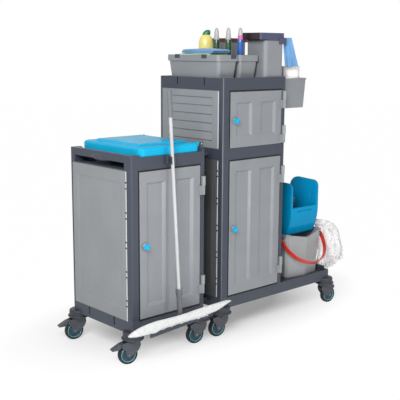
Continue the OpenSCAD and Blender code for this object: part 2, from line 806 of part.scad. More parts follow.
// Open cradle clip for the pole on the front of the low top frame
module pole_clip() color(slate) placed() {
    clip_h = 40;
    inner = pole_r + run_gap;
    translate([clip_x, clip_y, clip_z]) rotate([-pole_lean, 0, 0]) difference() {
        union() {
            translate([0, 0, -clip_h / 2]) cylinder(r = inner + clip_wall, h = clip_h);
            translate([-inner - clip_wall, -10, -clip_h / 2]) cube([2 * (inner + clip_wall), 10, clip_h]);
        }
        translate([0, 0, -clip_h]) cylinder(r = inner, h = 2 * clip_h);
        translate([-inner, -40, -clip_h]) cube([2 * inner, 40, 2 * clip_h]);
    }
    block([clip_x - 26, clip_y + inner + clip_wall / 2 + 2, clip_z - 22], [clip_x + 26, 0, clip_z + 22]);
}

module mop_pole() placed() along_pole() {
    color("#696973") difference() {
        union() {
            translate([0, 0, 12]) cylinder(r1 = 12, r2 = socket_r - 4, h = 40);
            translate([0, 0, 52]) cylinder(r = socket_r - 4, h = socket_l - 82);
            translate([0, 0, socket_l - 34]) cylinder(r = socket_r, h = 34);
            for (x = [-12, 6]) translate([x, -6, -6]) cube([6, 12, 22]);
        }
        translate([0, 0, 60]) cylinder(r = pole_r, h = socket_l);
        translate([-20, 0, 0]) rotate([0, 90, 0]) cylinder(r = 3 + pin_gap, h = 40);
    }
    color(white) translate([0, 0, 60]) cylinder(r = pole_r, h = pole_l - grip_l - 60);
    color("#96989e") translate([0, 0, pole_l - grip_l]) {
        cylinder(r = grip_r, h = grip_l - 8);
        translate([0, 0, grip_l - 8]) cylinder(r1 = grip_r, r2 = grip_r - 4, h = 8);
    }
}

// Places the mop head at the joint, tilted as it hangs
module at_head() {
    translate([clip_x, head_y, head_z_pivot]) rotate([0, -head_tilt, 0]) children();
}

// Frame of the hanging mop head: a flat plate behind the pad, held by a tongue on the joint's barrel
module mop_head_frame() color(slate) placed() at_head() {
    plate_l = 0.6 * pad_l;
    plate_y = pad_t - 43;
    translate([-plate_l / 2, plate_y, -pad_w]) cube([plate_l, 5, pad_w + 4]);
    translate([-plate_l / 2 + 30, plate_y + 4, -30]) cube([plate_l - 60, 5, 12]);
    rotate([0, head_tilt, 0]) {
        translate([-5, plate_y + 1, -6]) cube([10, -plate_y - 1, 12]);
        translate([-18, 0, 0]) rotate([0, 90, 0]) cylinder(r = 3, h = 36);
        translate([-5, 0, 0]) rotate([0, 90, 0]) cylinder(r = 6, h = 10);
    }
}

// Outline of the mop pad from the front, drawn in by edge
function pad_outline(edge) = let (e = pad_l / 2 - edge, top = 10 - edge, low = 10 - pad_w + edge) [
    [-e, low + 4], [-e + 46, low], [e - 126, low + 2], [e - 46, low + 16], [e, -8], [e - 2, 4 - edge / 2],
    [e - 26, top], [-e + 176, top], [-e + 76, top - 14], [-e + 4, low + 12]];

// Soft pad with a crowned face, hanging in front of its frame
module mop_pad() color(white) placed() at_head() translate([0, -19, 0]) rotate([90, 0, 0]) hull() {
    edge = 9;
    linear_extrude(pad_t - edge) polygon(pad_outline(0));
    linear_extrude(pad_t) polygon(pad_outline(edge));
}

// Open bin that tapers to its foot, with a rim lip
module open_bin(w, l, h, draft, r, t, lip, band) {
    difference() {
        union() {
            hull() {
                translate([draft, draft, 0]) linear_extrude(1)
                    plan(w - 2 * draft, l - 2 * draft, r, $fn = hull_fn);
                translate([lip, lip, h - 1]) linear_extrude(1)
                    plan(w - 2 * lip, l - 2 * lip, r, $fn = hull_fn);
            }
            translate([0, 0, h - band]) linear_extrude(band) plan(w, l, r + lip);
        }
        hull() {
            translate([draft + t, draft + t, t]) linear_extrude(1)
                plan(w - 2 * draft - 2 * t, l - 2 * draft - 2 * t, r, $fn = hull_fn);
            translate([lip + t, lip + t, h]) linear_extrude(1)
                plan(w - 2 * lip - 2 * t, l - 2 * lip - 2 * t, r, $fn = hull_fn);
        }
    }
}

module tray_bins() color(grey) placed()
    for (i = [0, 1]) translate([bin_x + i * (bin_w + bin_gap), bin_y, tray_floor])
        open_bin(bin_w, bin_l, bin_h, bin_draft, 18, bin_wall, 5, bin_band);

module pails() color(grey) placed()
    for (y = pail_y) translate([pail_x, y, tray_floor])
        open_bin(pail_w, pail_w, pail_h, pail_draft, 24, bin_wall, 2, 10);

// Deep lid that overhangs the front pail to the left, with its clip and a peg for a cloth
module pail_lid() color(navy) placed() translate([pail_x, pail_y[0], tray_floor + pail_h]) {
    over = 45;
    clip_w = 58;
    translate([-over, 0, 0]) linear_extrude(40) plan(pail_w + over + 2, pail_w, 16);
    translate([pail_w - clip_w + 8, -7, -24]) cube([clip_w, 6.5, 34]);
    translate([pail_w - clip_w + 8, -1, 1]) cube([clip_w - 22, 9, 9]);
    translate([pail_w, 27, 12]) rotate([0, 90, 0]) cylinder(r = 3, h = 24.5);
}

module side_bin() color(grey) placed() {
    translate([side_bin_x, side_bin_y, side_bin_rim - side_bin_h])
        open_bin(side_bin_w, side_bin_l, side_bin_h, 12, 18, bin_wall, 3, 10);
    for (s = [-1, 1])
        translate([x_deck - wall - 4, cab_d / 2 + s * slot_spread / 2 - 2.5, side_bin_rim - 23]) {
        cube([wall + 4 + 8, 5, 5]);
        translate([0, -6.5, 0]) cube([3.5, 18, 5]);
    }
}

module paper_roll() color("#f0e8e4") placed()
    translate([side_bin_x + 144, side_bin_y + 76, side_bin_rim - side_bin_h + bin_wall]) difference() {
        cylinder(d = roll_d, h = roll_h);
        translate([0, 0, -1]) cylinder(d = 40, h = roll_h + 2);
    }

// One flat shouldered bottle and three slim ones with tapered caps, standing in the second bin
module bottles() placed() {
    foot = tray_floor + bin_wall;
    translate([bottle_at[0][0], bottle_at[0][1], foot]) {
        color("#ebe196") rotate_extrude()
            polygon([[0, 0], [38, 0], [41, 4], [41, 200], [35, 236], [21, 258], [16, 262], [0, 262]]);
        color("#146e3c") translate([0, 0, 262]) rotate_extrude()
            polygon([[0, 0], [19, 0], [19, 20], [14, 40], [8, 46], [0, 46]]);
    }
    for (i = [1:3]) translate([bottle_at[i][0], bottle_at[i][1], foot]) {
        color(i < 3 ? "#286e3c" : "#235ab4") rotate_extrude()
            polygon([[0, 0], [17, 0], [19, 3], [19, 250], [13, 262], [0, 262]]);
        color("#d8dadc") translate([0, 0, 262]) rotate_extrude()
            polygon([[0, 0], [14, 0], [14, 20], [8, 52], [4, 58], [0, 58]]);
    }
}

// Cloths folded on the first bin: a pale one below, a blue one on top
module folded_cloths() placed() {
    x0 = bin_x + 11.6;
    x1 = bin_x + bin_w - 11.6;
    z = bin_rim_z - 31;
    color("#bee1be") round_block([x0, 130, z], [x1, 402, z + 30], 14);
    color("#7aa7dc") {
        round_block([x0 + 3, 118, z + 30 + run_gap / 3], [x1 - 3, 390, z + 48], 14);
        round_block([x0 + 5, 124, z + 48 + run_gap / 3], [x1 - 5, 384, z + 66], 14);
    }
}

// Cloth hung over the pail's clip: a strip with upright folds that widens as it falls
cloth_rows = 14;
cloth_cols = 24;
cloth_h = 172;
cloth_t = 4;
function cloth_at(u, v, side) =
    let (
        w = 52 + 30 * v,
        fold = 7 * (0.4 + 0.6 * v) * sin(360 * 2.5 * u),
        swing = 46 * v
    )
    [swing + 0.66 * w * (u - 0.5) + 0.75 * (fold + side * cloth_t / 2),
     -0.75 * w * (u - 0.5) + 0.66 * (fold + side * cloth_t / 2), -cloth_h * v];
module hanging_cloth() color("#7aa7dc") placed()
    translate([pail_x + pail_w + 25.5, pail_y[0] + 4, tray_floor + pail_h + 14]) {
    n = cloth_cols + 1;
    m = n * (cloth_rows + 1);
    points = [for (side = [-1, 1], j = [0:cloth_rows], i = [0:cloth_cols]) cloth_at(i / cloth_cols,
        j / cloth_rows, side)];
    faces = [
        for (j = [0:cloth_rows - 1], i = [0:cloth_cols - 1], k = [0, 1])
            let (a = j * n + i) k == 0 ? [a, a + 1, a + n] : [a + 1, a + n + 1, a + n],
        for (j = [0:cloth_rows - 1], i = [0:cloth_cols - 1], k = [0, 1])
            let (a = m + j * n + i) k == 0 ? [a, a + n, a + 1] : [a + 1, a + n, a + n + 1],
        for (i = [0:cloth_cols - 1], k = [0, 1]) k == 0 ? [i, m + i, i + 1] : [i + 1, m + i, m + i + 1],
        for (i = [0:cloth_cols - 1], k = [0, 1]) let (a = cloth_rows * n + i)
            k == 0 ? [a, a + 1, m + a] : [a + 1, m + a + 1, m + a],
        for (j = [0:cloth_rows - 1], k = [0, 1]) let (a = j * n)
            k == 0 ? [a, a + n, m + a] : [a + n, m + a + n, m + a],
        for (j = [0:cloth_rows - 1], k = [0, 1]) let (a = j * n + cloth_cols)
            k == 0 ? [a, m + a, a + n] : [a + n, m + a, m + a + n]
    ];
    polyhedron(points, faces);
}

// Outline of the mop bucket from above: pointed front, cut back corners
function bucket_plan(hw, y0, y1, v) = [
    [0, y0], [hw - 20, y0 + v - 6], [hw, y0 + v + 14], [hw, y1 - 40], [hw - 40, y1], [40 - hw, y1],
        [-hw, y1 - 40],
    [-hw, y0 + v + 14], [20 - hw, y0 + v - 6]];

module mop_bucket() color(grey) placed() translate([bucket_x, bucket_y, bucket_z]) {
    hw = bucket_w / 2;
    dip = 30;
    lip = 8;
    difference() {
        union() {
            hull() {
                linear_extrude(1)
                    polygon(bucket_plan(hw - bucket_foot, bucket_foot, bucket_d - bucket_foot, spout_v));
                translate([0, 0, bucket_h - 1]) linear_extrude(1)
                    polygon(bucket_plan(hw - lip, lip, bucket_d - lip, spout_v));
            }
            translate([0, 0, bucket_h - 8]) linear_extrude(8)
                polygon(bucket_plan(hw, 0, bucket_d, spout_v));
            for (s = [-1, 1]) translate([s * (hw - 8), bail_y - bucket_y, bail_z - bucket_z])
                rotate([0, s * 90, 0]) {
                translate([0, 0, -6]) cylinder(r = 14, h = 12);
                cylinder(r = 5, h = bail_r - hw + 12);
            }
        }
        hull() {
            translate([0, 0, bucket_wall]) linear_extrude(1)
                polygon(bucket_plan(hw - bucket_foot - bucket_wall, bucket_foot + bucket_wall,
                    bucket_d - bucket_foot - bucket_wall, spout_v));
            translate([0, 0, bucket_h]) linear_extrude(1)
                polygon(bucket_plan(hw - lip - bucket_wall, lip + bucket_wall,
                    bucket_d - lip - bucket_wall, spout_v));
        }
        translate([0, -1, bucket_h]) rotate([-90, 0, 0]) linear_extrude(spout_v + 6)
            polygon([[-hw, -1], [hw, -1], [12, dip], [-12, dip]]);
    }
}

// Bail hanging in front of the bucket: half a ring with eyes on the pins
module bail() color(red) placed() translate([bucket_x, bail_y, bail_z]) rotate([bail_hang - 90, 0, 0])
    difference() {
    union() {
        rotate([90, 0, 0]) rotate([0, 0, 180]) rotate_extrude(angle = 180)
            translate([bail_r - 4, -bail_w / 2])
            square([7, bail_w]);
        for (s = [-1, 1]) translate([s * (bail_r - 4) + (s < 0 ? -7 : 0), 0, 0]) rotate([0, 90, 0])
            cylinder(r = 12, h = 7);
    }
    rotate([0, 90, 0]) cylinder(r = 5 + pin_gap, h = 3 * bail_r, center = true);
}

// Front edge of the wringer from its foot up to z, at a depth behind its face
function wringer_front(z, deep) = [
    [deep + wringer_tuck, 0], [deep + 0.45 * wringer_tuck, 50], [deep + 0.12 * wringer_tuck, 100],
    [deep, 140], [deep, z]];

// Side wall of the wringer, tucked in at the foot, with round upper corners
module wringer_side() {
    r_front = 40;
    r_back = 70;
    front_top = wringer_h - 6;
    polygon(concat(wringer_front(front_top - r_front, 0), [[r_front, front_top],
        [wringer_d - r_back, wringer_h], [wringer_d, wringer_h - r_back], [wringer_d, 0]]));
    translate([r_front, front_top - r_front]) circle(r_front);
    translate([wringer_d - r_back, wringer_h - r_back]) circle(r_back);
}

module wringer() color("#0096cf") placed() translate([wringer_x, wringer_y, wringer_z]) {
    front_h = 178;
    for (side = [0, 1]) translate([side * (wringer_w - wringer_wall), 0, 0]) difference() {
        rotate([90, 0, 90]) linear_extrude(wringer_wall) wringer_side();
        if (side == 1) translate([-1, 40, 200]) cube([wringer_wall + 2, 10, 56]);
        if (side == 0) translate([-1, lever_y - wringer_y, lever_z - wringer_z]) rotate([0, 90, 0])
            cylinder(r = 8 + pin_gap, h = wringer_wall + 2);
    }
    difference() {
        translate([wringer_wall - 1, 0, 0]) rotate([90, 0, 90])
            linear_extrude(wringer_w - 2 * wringer_wall + 2)
            polygon(concat(wringer_front(front_h, 0),
                [for (i = [4:-1:0]) wringer_front(front_h, wringer_wall)[i]]));
        block([60, -1, 150], [wringer_w - 60, 4, 156]);
    }
    block([wringer_wall - 1, wringer_d - wringer_wall, 0],
        [wringer_w - wringer_wall + 1, wringer_d, front_h + 60]);
    for (y = [40, wringer_d - 52]) block([wringer_wall - 1, y, 0],
        [wringer_w - wringer_wall + 1, y + 12, 16]);
    // Lugs that sit on the bucket's rim
    lug_l = bucket_w / 2 - wringer_w / 2 - 3;
    for (x = [-lug_l, wringer_w - 1]) block([x, 130, 12], [x + lug_l + 1, 214, 24]);
}

// Slotted plate that runs between the side walls and presses the mop against the front wall
module press_plate() color("#8a8d90") placed()
    translate([wringer_x + wringer_wall + run_gap, wringer_y + wringer_d - wringer_wall - 34,
        wringer_z + 24]) {
        w = wringer_w - 2 * wringer_wall - 2 * run_gap;
        difference() {
            cube([w, 14, 178]);
            for (i = [1:7]) translate([i * w / 8 - 6, -1, 152]) cube([12, 16, 30]);
            for (i = [1:5]) translate([i * w / 6 - 6, -1, 20]) cube([12, 16, 100]);
        }
    }

// Lever with its shaft through the left wall
module wringer_lever() color("#8a8d90") placed() translate([wringer_x, lever_y, lever_z]) {
    lever_l = 250;
    rotate([0, 90, 0]) translate([0, 0, -26]) cylinder(r = 8, h = 25 + wringer_wall);
    rotate([-24, 0, 0]) translate([-24, 0, 0]) {
        translate([0, 0, 0]) rotate([0, 90, 0]) cylinder(r = 18, h = 12);
        translate([0, -13, 0]) cube([12, 26, lever_l]);
        translate([6, 0, lever_l - 10]) cylinder(r = 15, h = 110);
    }
}

// String mop head: a bundle laid over the bucket's right rim, its strands falling outside
module string_mop() color("#e1dadd") placed() translate([bucket_x + bucket_w / 2, 0, bucket_rim]) {
    $fn = 18;
    hull() {
        translate([-14, 168, 34.1]) sphere(r = 25);
        translate([58, 146, 31.1]) sphere(r = 32);
        translate([88, 88, 5.1]) sphere(r = 40);
    }
    hull() {
        translate([70, 126, 4]) sphere(r = 36);
        translate([104, 80, 0]) sphere(r = 44);
        translate([138, 70, -150]) sphere(r = 52);
        translate([68, 122, -226]) sphere(r = 34);
    }
    hull() {
        translate([104, 74, 10]) sphere(r = 36);
        translate([160, 40, -96]) sphere(r = 46);
        translate([164, 34, -176]) sphere(r = 40);
    }
}

low_base();
long_base();
link_bars();
low_posts();
tall_posts();
low_top_frame();
mid_frame();
top_tray();
side_panels();
louvre_panels();
back_panels();
hinge_brackets();
hinge_pins();
bumpers();
pole_clip();
bag_hoop();
lid();
low_door();
lower_door();
upper_door();
low_knob();
lower_knob();
upper_knob();
fork_1();
fork_2();
fork_3();
fork_4();
fork_5();
fork_6();
fork_7();
fork_8();
wheel_1();
wheel_2();
wheel_3();
wheel_4();
wheel_5();
wheel_6();
wheel_7();
wheel_8();
pedal_1();
pedal_2();
tray_bins();
pails();
pail_lid();
side_bin();
paper_roll();
bottles();
folded_cloths();
hanging_cloth();
mop_bucket();
bail();
wringer();
press_plate();
wringer_lever();
string_mop();
mop_pole();
mop_head_frame();
mop_pad();
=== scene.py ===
"""Finishes for the janitor cart: plastics, casters, mops, cloths, bottles and a pale studio."""

import json
import math
import random

import bmesh
import bpy
from bpy.props import FloatProperty, FloatVectorProperty, IntProperty, PointerProperty
from mathutils import Matrix, Vector


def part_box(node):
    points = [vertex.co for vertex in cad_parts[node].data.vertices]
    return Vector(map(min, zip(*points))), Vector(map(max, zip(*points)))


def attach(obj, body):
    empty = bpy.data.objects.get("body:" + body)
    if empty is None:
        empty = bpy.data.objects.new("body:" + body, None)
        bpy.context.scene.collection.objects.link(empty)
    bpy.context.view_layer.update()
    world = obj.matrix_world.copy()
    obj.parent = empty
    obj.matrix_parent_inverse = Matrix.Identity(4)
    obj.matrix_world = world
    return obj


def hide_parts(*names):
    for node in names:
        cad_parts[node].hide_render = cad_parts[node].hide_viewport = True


bl_info = {
    "name": "Janitor cart finishes",
    "version": (1, 0, 0),
    "blender": (4, 5, 0),
    "location": "View3D > Sidebar > Cart",
    "description": "Soft goods, casters, bottles and finishes for the cleaning cart",
    "category": "Object",
}

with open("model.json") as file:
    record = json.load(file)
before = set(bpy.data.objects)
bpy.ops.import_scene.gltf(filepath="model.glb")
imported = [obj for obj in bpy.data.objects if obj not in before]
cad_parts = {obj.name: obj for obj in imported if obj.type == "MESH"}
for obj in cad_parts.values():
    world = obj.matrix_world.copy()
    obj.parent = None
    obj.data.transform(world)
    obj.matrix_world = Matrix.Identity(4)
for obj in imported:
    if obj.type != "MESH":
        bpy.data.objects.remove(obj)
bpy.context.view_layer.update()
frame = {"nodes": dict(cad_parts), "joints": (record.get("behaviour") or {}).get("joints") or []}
JOINTS = {j["name"]: j for j in frame["joints"]}
CASTERS = range(1, 9)
KNOBS = ("low_knob", "lower_knob", "upper_knob")

# The cart is measured in millimetres from the floor under the low base's front left corner.
MM = 1000.0
BASE_HEIGHT = 0.160
FOOT = Vector(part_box("low_base")[0]) - Vector((0.0, 0.0, BASE_HEIGHT))

# Left sides of the two cabinets, and the levels of their panels, doors and tray, in millimetres
LOW_X, TALL_X = 0.0, 660.0
LOWER_PANEL, UPPER_PANEL = (228, 1041), (1111, 1437)
LOWER_DOOR, UPPER_DOOR = (235, 1035), (1111, 1431)
BIN_FLOOR, BIN_RIM = 1478.2, 1641

# Places in metres where a finish changes: painted shade on the side panels in the gap between the
# cabinets, socket and grip of the pole, pail rim
GAP_LEFT, GAP_RIGHT = -0.36, 0.0
SOCKET_END, GRIP_START = 0.393, 1.319
PAIL_RIM = 1.7265
LID_EDGE = 0.004

# Colours that several finishes share
PALE_FRAME = (0.20, 0.22, 0.25)
PALE_PANEL = (0.50, 0.51, 0.52)
PALE_GREY = (0.55, 0.55, 0.55)
SIDE_GREY = (0.226, 0.236, 0.247)

# Sockets of a colour mix: factor, both colours and the result
MIX_INPUTS, MIX_OUTPUT = (0, 6, 7), 2

# Which CAD nodes wear which finish
FINISH_OF = {
    "Frame plastic": ("low_base", "long_base", "link_bars", "low_posts", "tall_posts",
                      "low_top_frame", "mid_frame", "top_tray", "pole_clip", "mop_head_frame"),
    "Bumper plastic": ("bumpers",),
    "Side plastic": ("side_panels",),
    "Louvre plastic": ("louvre_panels",),
    "Panel plastic": ("back_panels", "low_door", "lower_door", "upper_door", "tray_bins",
                      "side_bin", *KNOBS),
    "Bucket plastic": ("mop_bucket",),
    "Hinge plastic": ("hinge_brackets",),
    "Pail plastic": ("pails",),
    "Lid plastic": ("lid",),
    "Wringer plastic": ("wringer",),
    "Bail plastic": ("bail",),
    "Navy plastic": ("pail_lid",),
    "Grey plastic": ("press_plate", "wringer_lever"),
    "Caster plastic": (*[f"fork_{i}" for i in CASTERS], "pedal_1", "pedal_2"),
    "Drawn steel": ("hinge_pins", "bag_hoop"),
    "Painted pole": ("mop_pole",),
}


def at(x, y, z):
    """Point in the row frame for a place on the cart in millimetres."""
    return FOOT + Vector((x, y, z)) / MM


def colour(name, text, default):
    """Colour setting."""
    return FloatVectorProperty(name=name, description=text, subtype="COLOR", size=3,
                               min=0.0, max=1.0, default=default)


def metres(name, text, default):
    """Setting in metres."""
    return FloatProperty(name=name, description=text, default=default, unit="LENGTH")


def whole(name, text, default, low, high):
    """Whole number setting."""
    return IntProperty(name=name, description=text, default=default, min=low, max=high)


def watts(name, text, default):
    """Setting in watts."""
    return FloatProperty(name=name, description=text, default=default, unit="POWER")


class CartColours(bpy.types.PropertyGroup):
    """Colours of the cart's plastics and cloths."""

    frame_grey: colour("Frame", "Dark moulded frame plastic", (0.040, 0.048, 0.068))
    panel_grey: colour("Panels", "Light panel and bin plastic", (0.222, 0.234, 0.249))
    lid_blue: colour("Lid", "Blue lid and knobs", (0.002, 0.385, 0.640))
    wringer_blue: colour("Wringer", "Blue of the wringer", (0.001, 0.270, 0.520))
    bail_red: colour("Bail", "Red bucket bail", (0.600, 0.036, 0.022))
    lid_navy: colour("Pail lid", "Navy pail lid", (0.050, 0.056, 0.120))
    pole_white: colour("Pole", "Painted mop pole", (0.450, 0.460, 0.470))
    pad_white: colour("Mop pad", "Looped mop pad", (0.640, 0.650, 0.650))
    cloth_blue: colour("Blue cloth", "Folded and hanging cloth", (0.150, 0.340, 0.600))
    cloth_green: colour("Green cloth", "Cloth under the blue one", (0.500, 0.740, 0.450))
    yarn: colour("Yarn", "Cotton mop strands", (0.860, 0.845, 0.850))
    ring_teal: colour("Wheel ring", "Ring on a caster wheel", (0.130, 0.470, 0.520))
    hub_teal: colour("Wheel hub", "Disc of a caster wheel", (0.008, 0.038, 0.062))


class CartSizes(bpy.types.PropertyGroup):
    """Sizes and counts of the soft goods and wheels."""

    strands: whole("Strands", "Strands in the string mop", 620, 40, 900)
    strand_width: metres("Strand", "Thickness of a strand", 0.0078)
    loops: whole("Loops", "Fringe loops under the mop pad", 110, 20, 400)
    cloth_thickness: metres("Cloth", "Thickness of the hanging cloth", 0.0016)
    wheel_steps: whole("Wheel steps", "Steps round a wheel", 56, 24, 96)


class CartStage(bpy.types.PropertyGroup):
    """Camera and light levels."""

    lens: FloatProperty(name="Lens", description="Focal length", default=72.79, unit="CAMERA")
    roll: FloatProperty(name="Roll", description="Camera roll", default=math.radians(0.356),
                        subtype="ANGLE")
    key: watts("Key", "Power of the key light", 180.0)
    fill: watts("Fill", "Power of the fill light", 30.0)
    floor_glow: FloatProperty(name="Floor", description="Own light of the floor near the cart",
                              default=0.24)
    sky: FloatProperty(name="Sky", description="Level of the even studio light", default=0.36)


def cart():
    """Colours, sizes and stage settings of the scene."""
    scene = bpy.context.scene
    return scene.janitor_colours, scene.janitor_sizes, scene.janitor_stage


# Shader helpers


def feed(tree, socket, value):
    """Links an output to a socket, or sets the socket to a number or colour."""
    if isinstance(value, bpy.types.NodeSocket):
        tree.links.new(value, socket)
    else:
        socket.default_value = value


def add(tree, kind, **sets):
    """New node in a tree; names of sockets and settings follow in sets."""
    node = tree.nodes.new(kind)
    for key, value in sets.items():
        label = key.replace("_", " ")
        if label in node.inputs:
            feed(tree, node.inputs[label], value)
        else:
            setattr(node, key, value)
    return node


def new_group(name, inputs):
    """Shader group that gives a colour, a roughness and a height."""
    group = bpy.data.node_groups.new(name, "ShaderNodeTree")
    for label, value in inputs.items():
        kind = "NodeSocketColor" if isinstance(value, tuple) else "NodeSocketFloat"
        socket = group.interface.new_socket(label, in_out="INPUT", socket_type=kind)
        socket.default_value = value
    for label, kind in (("Colour", "Color"), ("Roughness", "Float"), ("Height", "Float")):
        group.interface.new_socket(label, in_out="OUTPUT", socket_type=f"NodeSocket{kind}")
    return group, add(group, "NodeGroupInput").outputs, add(group, "NodeGroupOutput").inputs


def ramp_range(tree, source, low, high, to_low, to_high):
    """Source taken from the range low to high into another one."""
    return add(tree, "ShaderNodeMapRange", Value=source, From_Min=low, From_Max=high,
               To_Min=to_low, To_Max=to_high).outputs["Result"]


def maths(tree, operation, *values):
    """Result of a Math node on two values."""
    node = add(tree, "ShaderNodeMath", operation=operation)
    for socket, value in zip(node.inputs, values):
        feed(tree, socket, value)
    return node.outputs[0]


def product(tree, first, *others):
    """All values multiplied."""
    for value in others:
        first = maths(tree, "MULTIPLY", first, value)
    return first


def mixed(tree, factor, a, b, blend="MIX"):
    """Colour mix of two values."""
    node = add(tree, "ShaderNodeMix", data_type="RGBA", blend_type=blend)
    for index, value in zip(MIX_INPUTS, (factor, a, b)):
        feed(tree, node.inputs[index], value)
    return node.outputs[MIX_OUTPUT]


def own_place(tree):
    """Outputs X, Y and Z of the place on the object."""
    place = add(tree, "ShaderNodeTexCoord").outputs["Object"]
    return add(tree, "ShaderNodeSeparateXYZ", Vector=place).outputs


def noise(tree, scale, detail=3.0, rough=0.5):
    """Noise over the object."""
    place = add(tree, "ShaderNodeTexCoord").outputs["Object"]
    return add(tree, "ShaderNodeTexNoise", Vector=place, Scale=scale, Detail=detail,
               Roughness=rough).outputs["Fac"]


def seen_directly(tree):
    """One for rays from the camera or by way of a gloss or a clear piece, else nought."""
    path = add(tree, "ShaderNodeLightPath").outputs
    mirrored_rays = maths(tree, "MAXIMUM", path["Is Glossy Ray"], path["Is Transmission Ray"])
    return maths(tree, "MAXIMUM", path["Is Camera Ray"], mirrored_rays)


# Shader groups


def moulded_group():
    """Moulded plastic: cloudy tone, rubbed edges, dust low down and a fine spark grain."""
    group, given, result = new_group(
        "Moulded grain", {"Colour": (0.5, 0.5, 0.5, 1.0), "Rubbed": (0.7, 0.7, 0.7, 1.0),
                          "Wear": 0.4, "Gloss": 0.4, "Dust": 0.12})
    dust_tint = (0.42, 0.40, 0.37, 1.0)
    cloud = ramp_range(group, noise(group, 5.0, 4.0), 0.3, 0.7, 0.95, 1.05)
    tinted = mixed(group, 1.0, given["Colour"], cloud, "MULTIPLY")
    bevel = add(group, "ShaderNodeBevel", samples=4, Radius=0.004)
    face = add(group, "ShaderNodeNewGeometry")
    bend = add(group, "ShaderNodeVectorMath", operation="DOT_PRODUCT")
    group.links.new(bevel.outputs[0], bend.inputs[0])
    group.links.new(face.outputs["Normal"], bend.inputs[1])
    edge = ramp_range(group, bend.outputs["Value"], 0.99, 0.80, 0.0, 1.0)
    patch = ramp_range(group, noise(group, 26.0, 3.0), 0.42, 0.66, 0.15, 1.0)
    rubbed = mixed(group, product(group, edge, patch, given["Wear"]), tinted, given["Rubbed"])
    low = ramp_range(group, own_place(group)["Z"], 0.02, 0.30, 1.0, 0.0)
    speck = ramp_range(group, noise(group, 90.0, 5.0, 0.7), 0.45, 0.7, 0.0, 1.0)
    dust = product(group, low, speck, given["Dust"])
    group.links.new(mixed(group, dust, rubbed, dust_tint), result["Colour"])
    smear = ramp_range(group, noise(group, 14.0, 5.0, 0.6), 0.3, 0.7, -0.06, 0.08)
    rough = maths(group, "ADD", given["Gloss"], smear)
    dusty_rough = maths(group, "ADD", rough, product(group, dust, 1.2))
    group.links.new(dusty_rough, result["Roughness"])
    grain = noise(group, 950.0, 2.0, 0.6)
    flow = noise(group, 9.0, 1.0)
    group.links.new(maths(group, "ADD", grain, product(group, flow, 1.5)), result["Height"])


def weave_group():
    """Plain weave on the piece's own UV map, one unit a metre."""
    group, given, result = new_group(
        "Cloth weave", {"Colour": (0.5, 0.5, 0.5, 1.0), "Threads": 900.0})
    uv = add(group, "ShaderNodeTexCoord").outputs["UV"]
    thread = maths(group, "MAXIMUM", *[
        add(group, "ShaderNodeTexWave", bands_direction=direction, Distortion=1.2, Detail=1.0,
            Vector=uv, Scale=given["Threads"]).outputs["Fac"] for direction in ("X", "Y")])
    fuzz = noise(group, 300.0, 4.0, 0.7)
    shade = ramp_range(group, thread, 0.0, 1.0, 0.80, 1.04)
    tint = mixed(group, 1.0, given["Colour"], shade, "MULTIPLY")
    patch = ramp_range(group, noise(group, 18.0, 3.0), 0.3, 0.7, 0.93, 1.06)
    group.links.new(mixed(group, 1.0, tint, patch, "MULTIPLY"), result["Colour"])
    group.links.new(ramp_range(group, fuzz, 0.2, 0.8, 0.78, 0.98), result["Roughness"])
    group.links.new(maths(group, "ADD", thread, product(group, fuzz, 0.8)), result["Height"])


def fibre_group():
    """Loose cotton fibre: streaked tone and a fluffy relief."""
    group, given, result = new_group(
        "Cotton fibre", {"Colour": (0.8, 0.8, 0.8, 1.0), "Shadow": 0.75})
    tuft = noise(group, 420.0, 4.0, 0.75)
    lump = noise(group, 70.0, 3.0)
    shade = ramp_range(group, lump, 0.3, 0.6, given["Shadow"], 1.03)
    tint = mixed(group, 1.0, given["Colour"], shade, "MULTIPLY")
    group.links.new(tint, result["Colour"])
    group.links.new(ramp_range(group, tuft, 0.2, 0.8, 0.85, 1.0), result["Roughness"])
    group.links.new(maths(group, "ADD", tuft, product(group, lump, 2.0)), result["Height"])


# Materials


def finish_with(name, group, values, bump, rounded=0.0, **principled):
    """Principled material fed by a shader group, its relief through a Bump node."""
    mat = bpy.data.materials.new(name)
    mat.use_nodes = True
    tree = mat.node_tree
    shader = tree.nodes["Principled BSDF"]
    effect = add(tree, "ShaderNodeGroup", node_tree=bpy.data.node_groups[group])
    for key, value in values.items():
        effect.inputs[key].default_value = (*value, 1.0) if hasattr(value, "__len__") else value
    for key, value in principled.items():
        shader.inputs[key.replace("_", " ")].default_value = value
    tree.links.new(effect.outputs["Colour"], shader.inputs["Base Color"])
    tree.links.new(effect.outputs["Roughness"], shader.inputs["Roughness"])
    strength, distance = bump
    relief = add(tree, "ShaderNodeBump", Strength=strength, Distance=distance,
                 Height=effect.outputs["Height"])
    if rounded:
        edge = add(tree, "ShaderNodeBevel", samples=6, Radius=rounded)
        tree.links.new(edge.outputs[0], relief.inputs["Normal"])
    tree.links.new(relief.outputs[0], shader.inputs["Normal"])
    return mat


def moulded(name, base, rubbed, gloss=0.4, wear=0.35, bump=(0.10, 0.0004), rounded=0.003,
            **principled):
    """Material of moulded plastic, rubber or metal."""
    values = {"Colour": base, "Rubbed": rubbed, "Wear": wear, "Gloss": gloss}
    return finish_with(name, "Moulded grain", values, bump, rounded, **principled)


def banded(mat, bands, axis="Z"):
    """Splits a moulded material along an axis; a band says where it starts and its colour."""
    tree = mat.node_tree
    effect = next(n for n in tree.nodes if n.type == "GROUP")
    place = own_place(tree)[axis]
    tint = tuple(effect.inputs["Colour"].default_value)
    for start, band in bands:
        tint = mixed(tree, maths(tree, "GREATER_THAN", place, start), tint, (*band, 1.0))
    tree.links.new(tint, effect.inputs["Colour"])


def dress(name, *node_names):
    """Gives CAD nodes one finish."""
    for node in node_names:
        data = frame["nodes"][node].data
        data.materials.clear()
        data.materials.append(bpy.data.materials[name])


# Mesh helpers


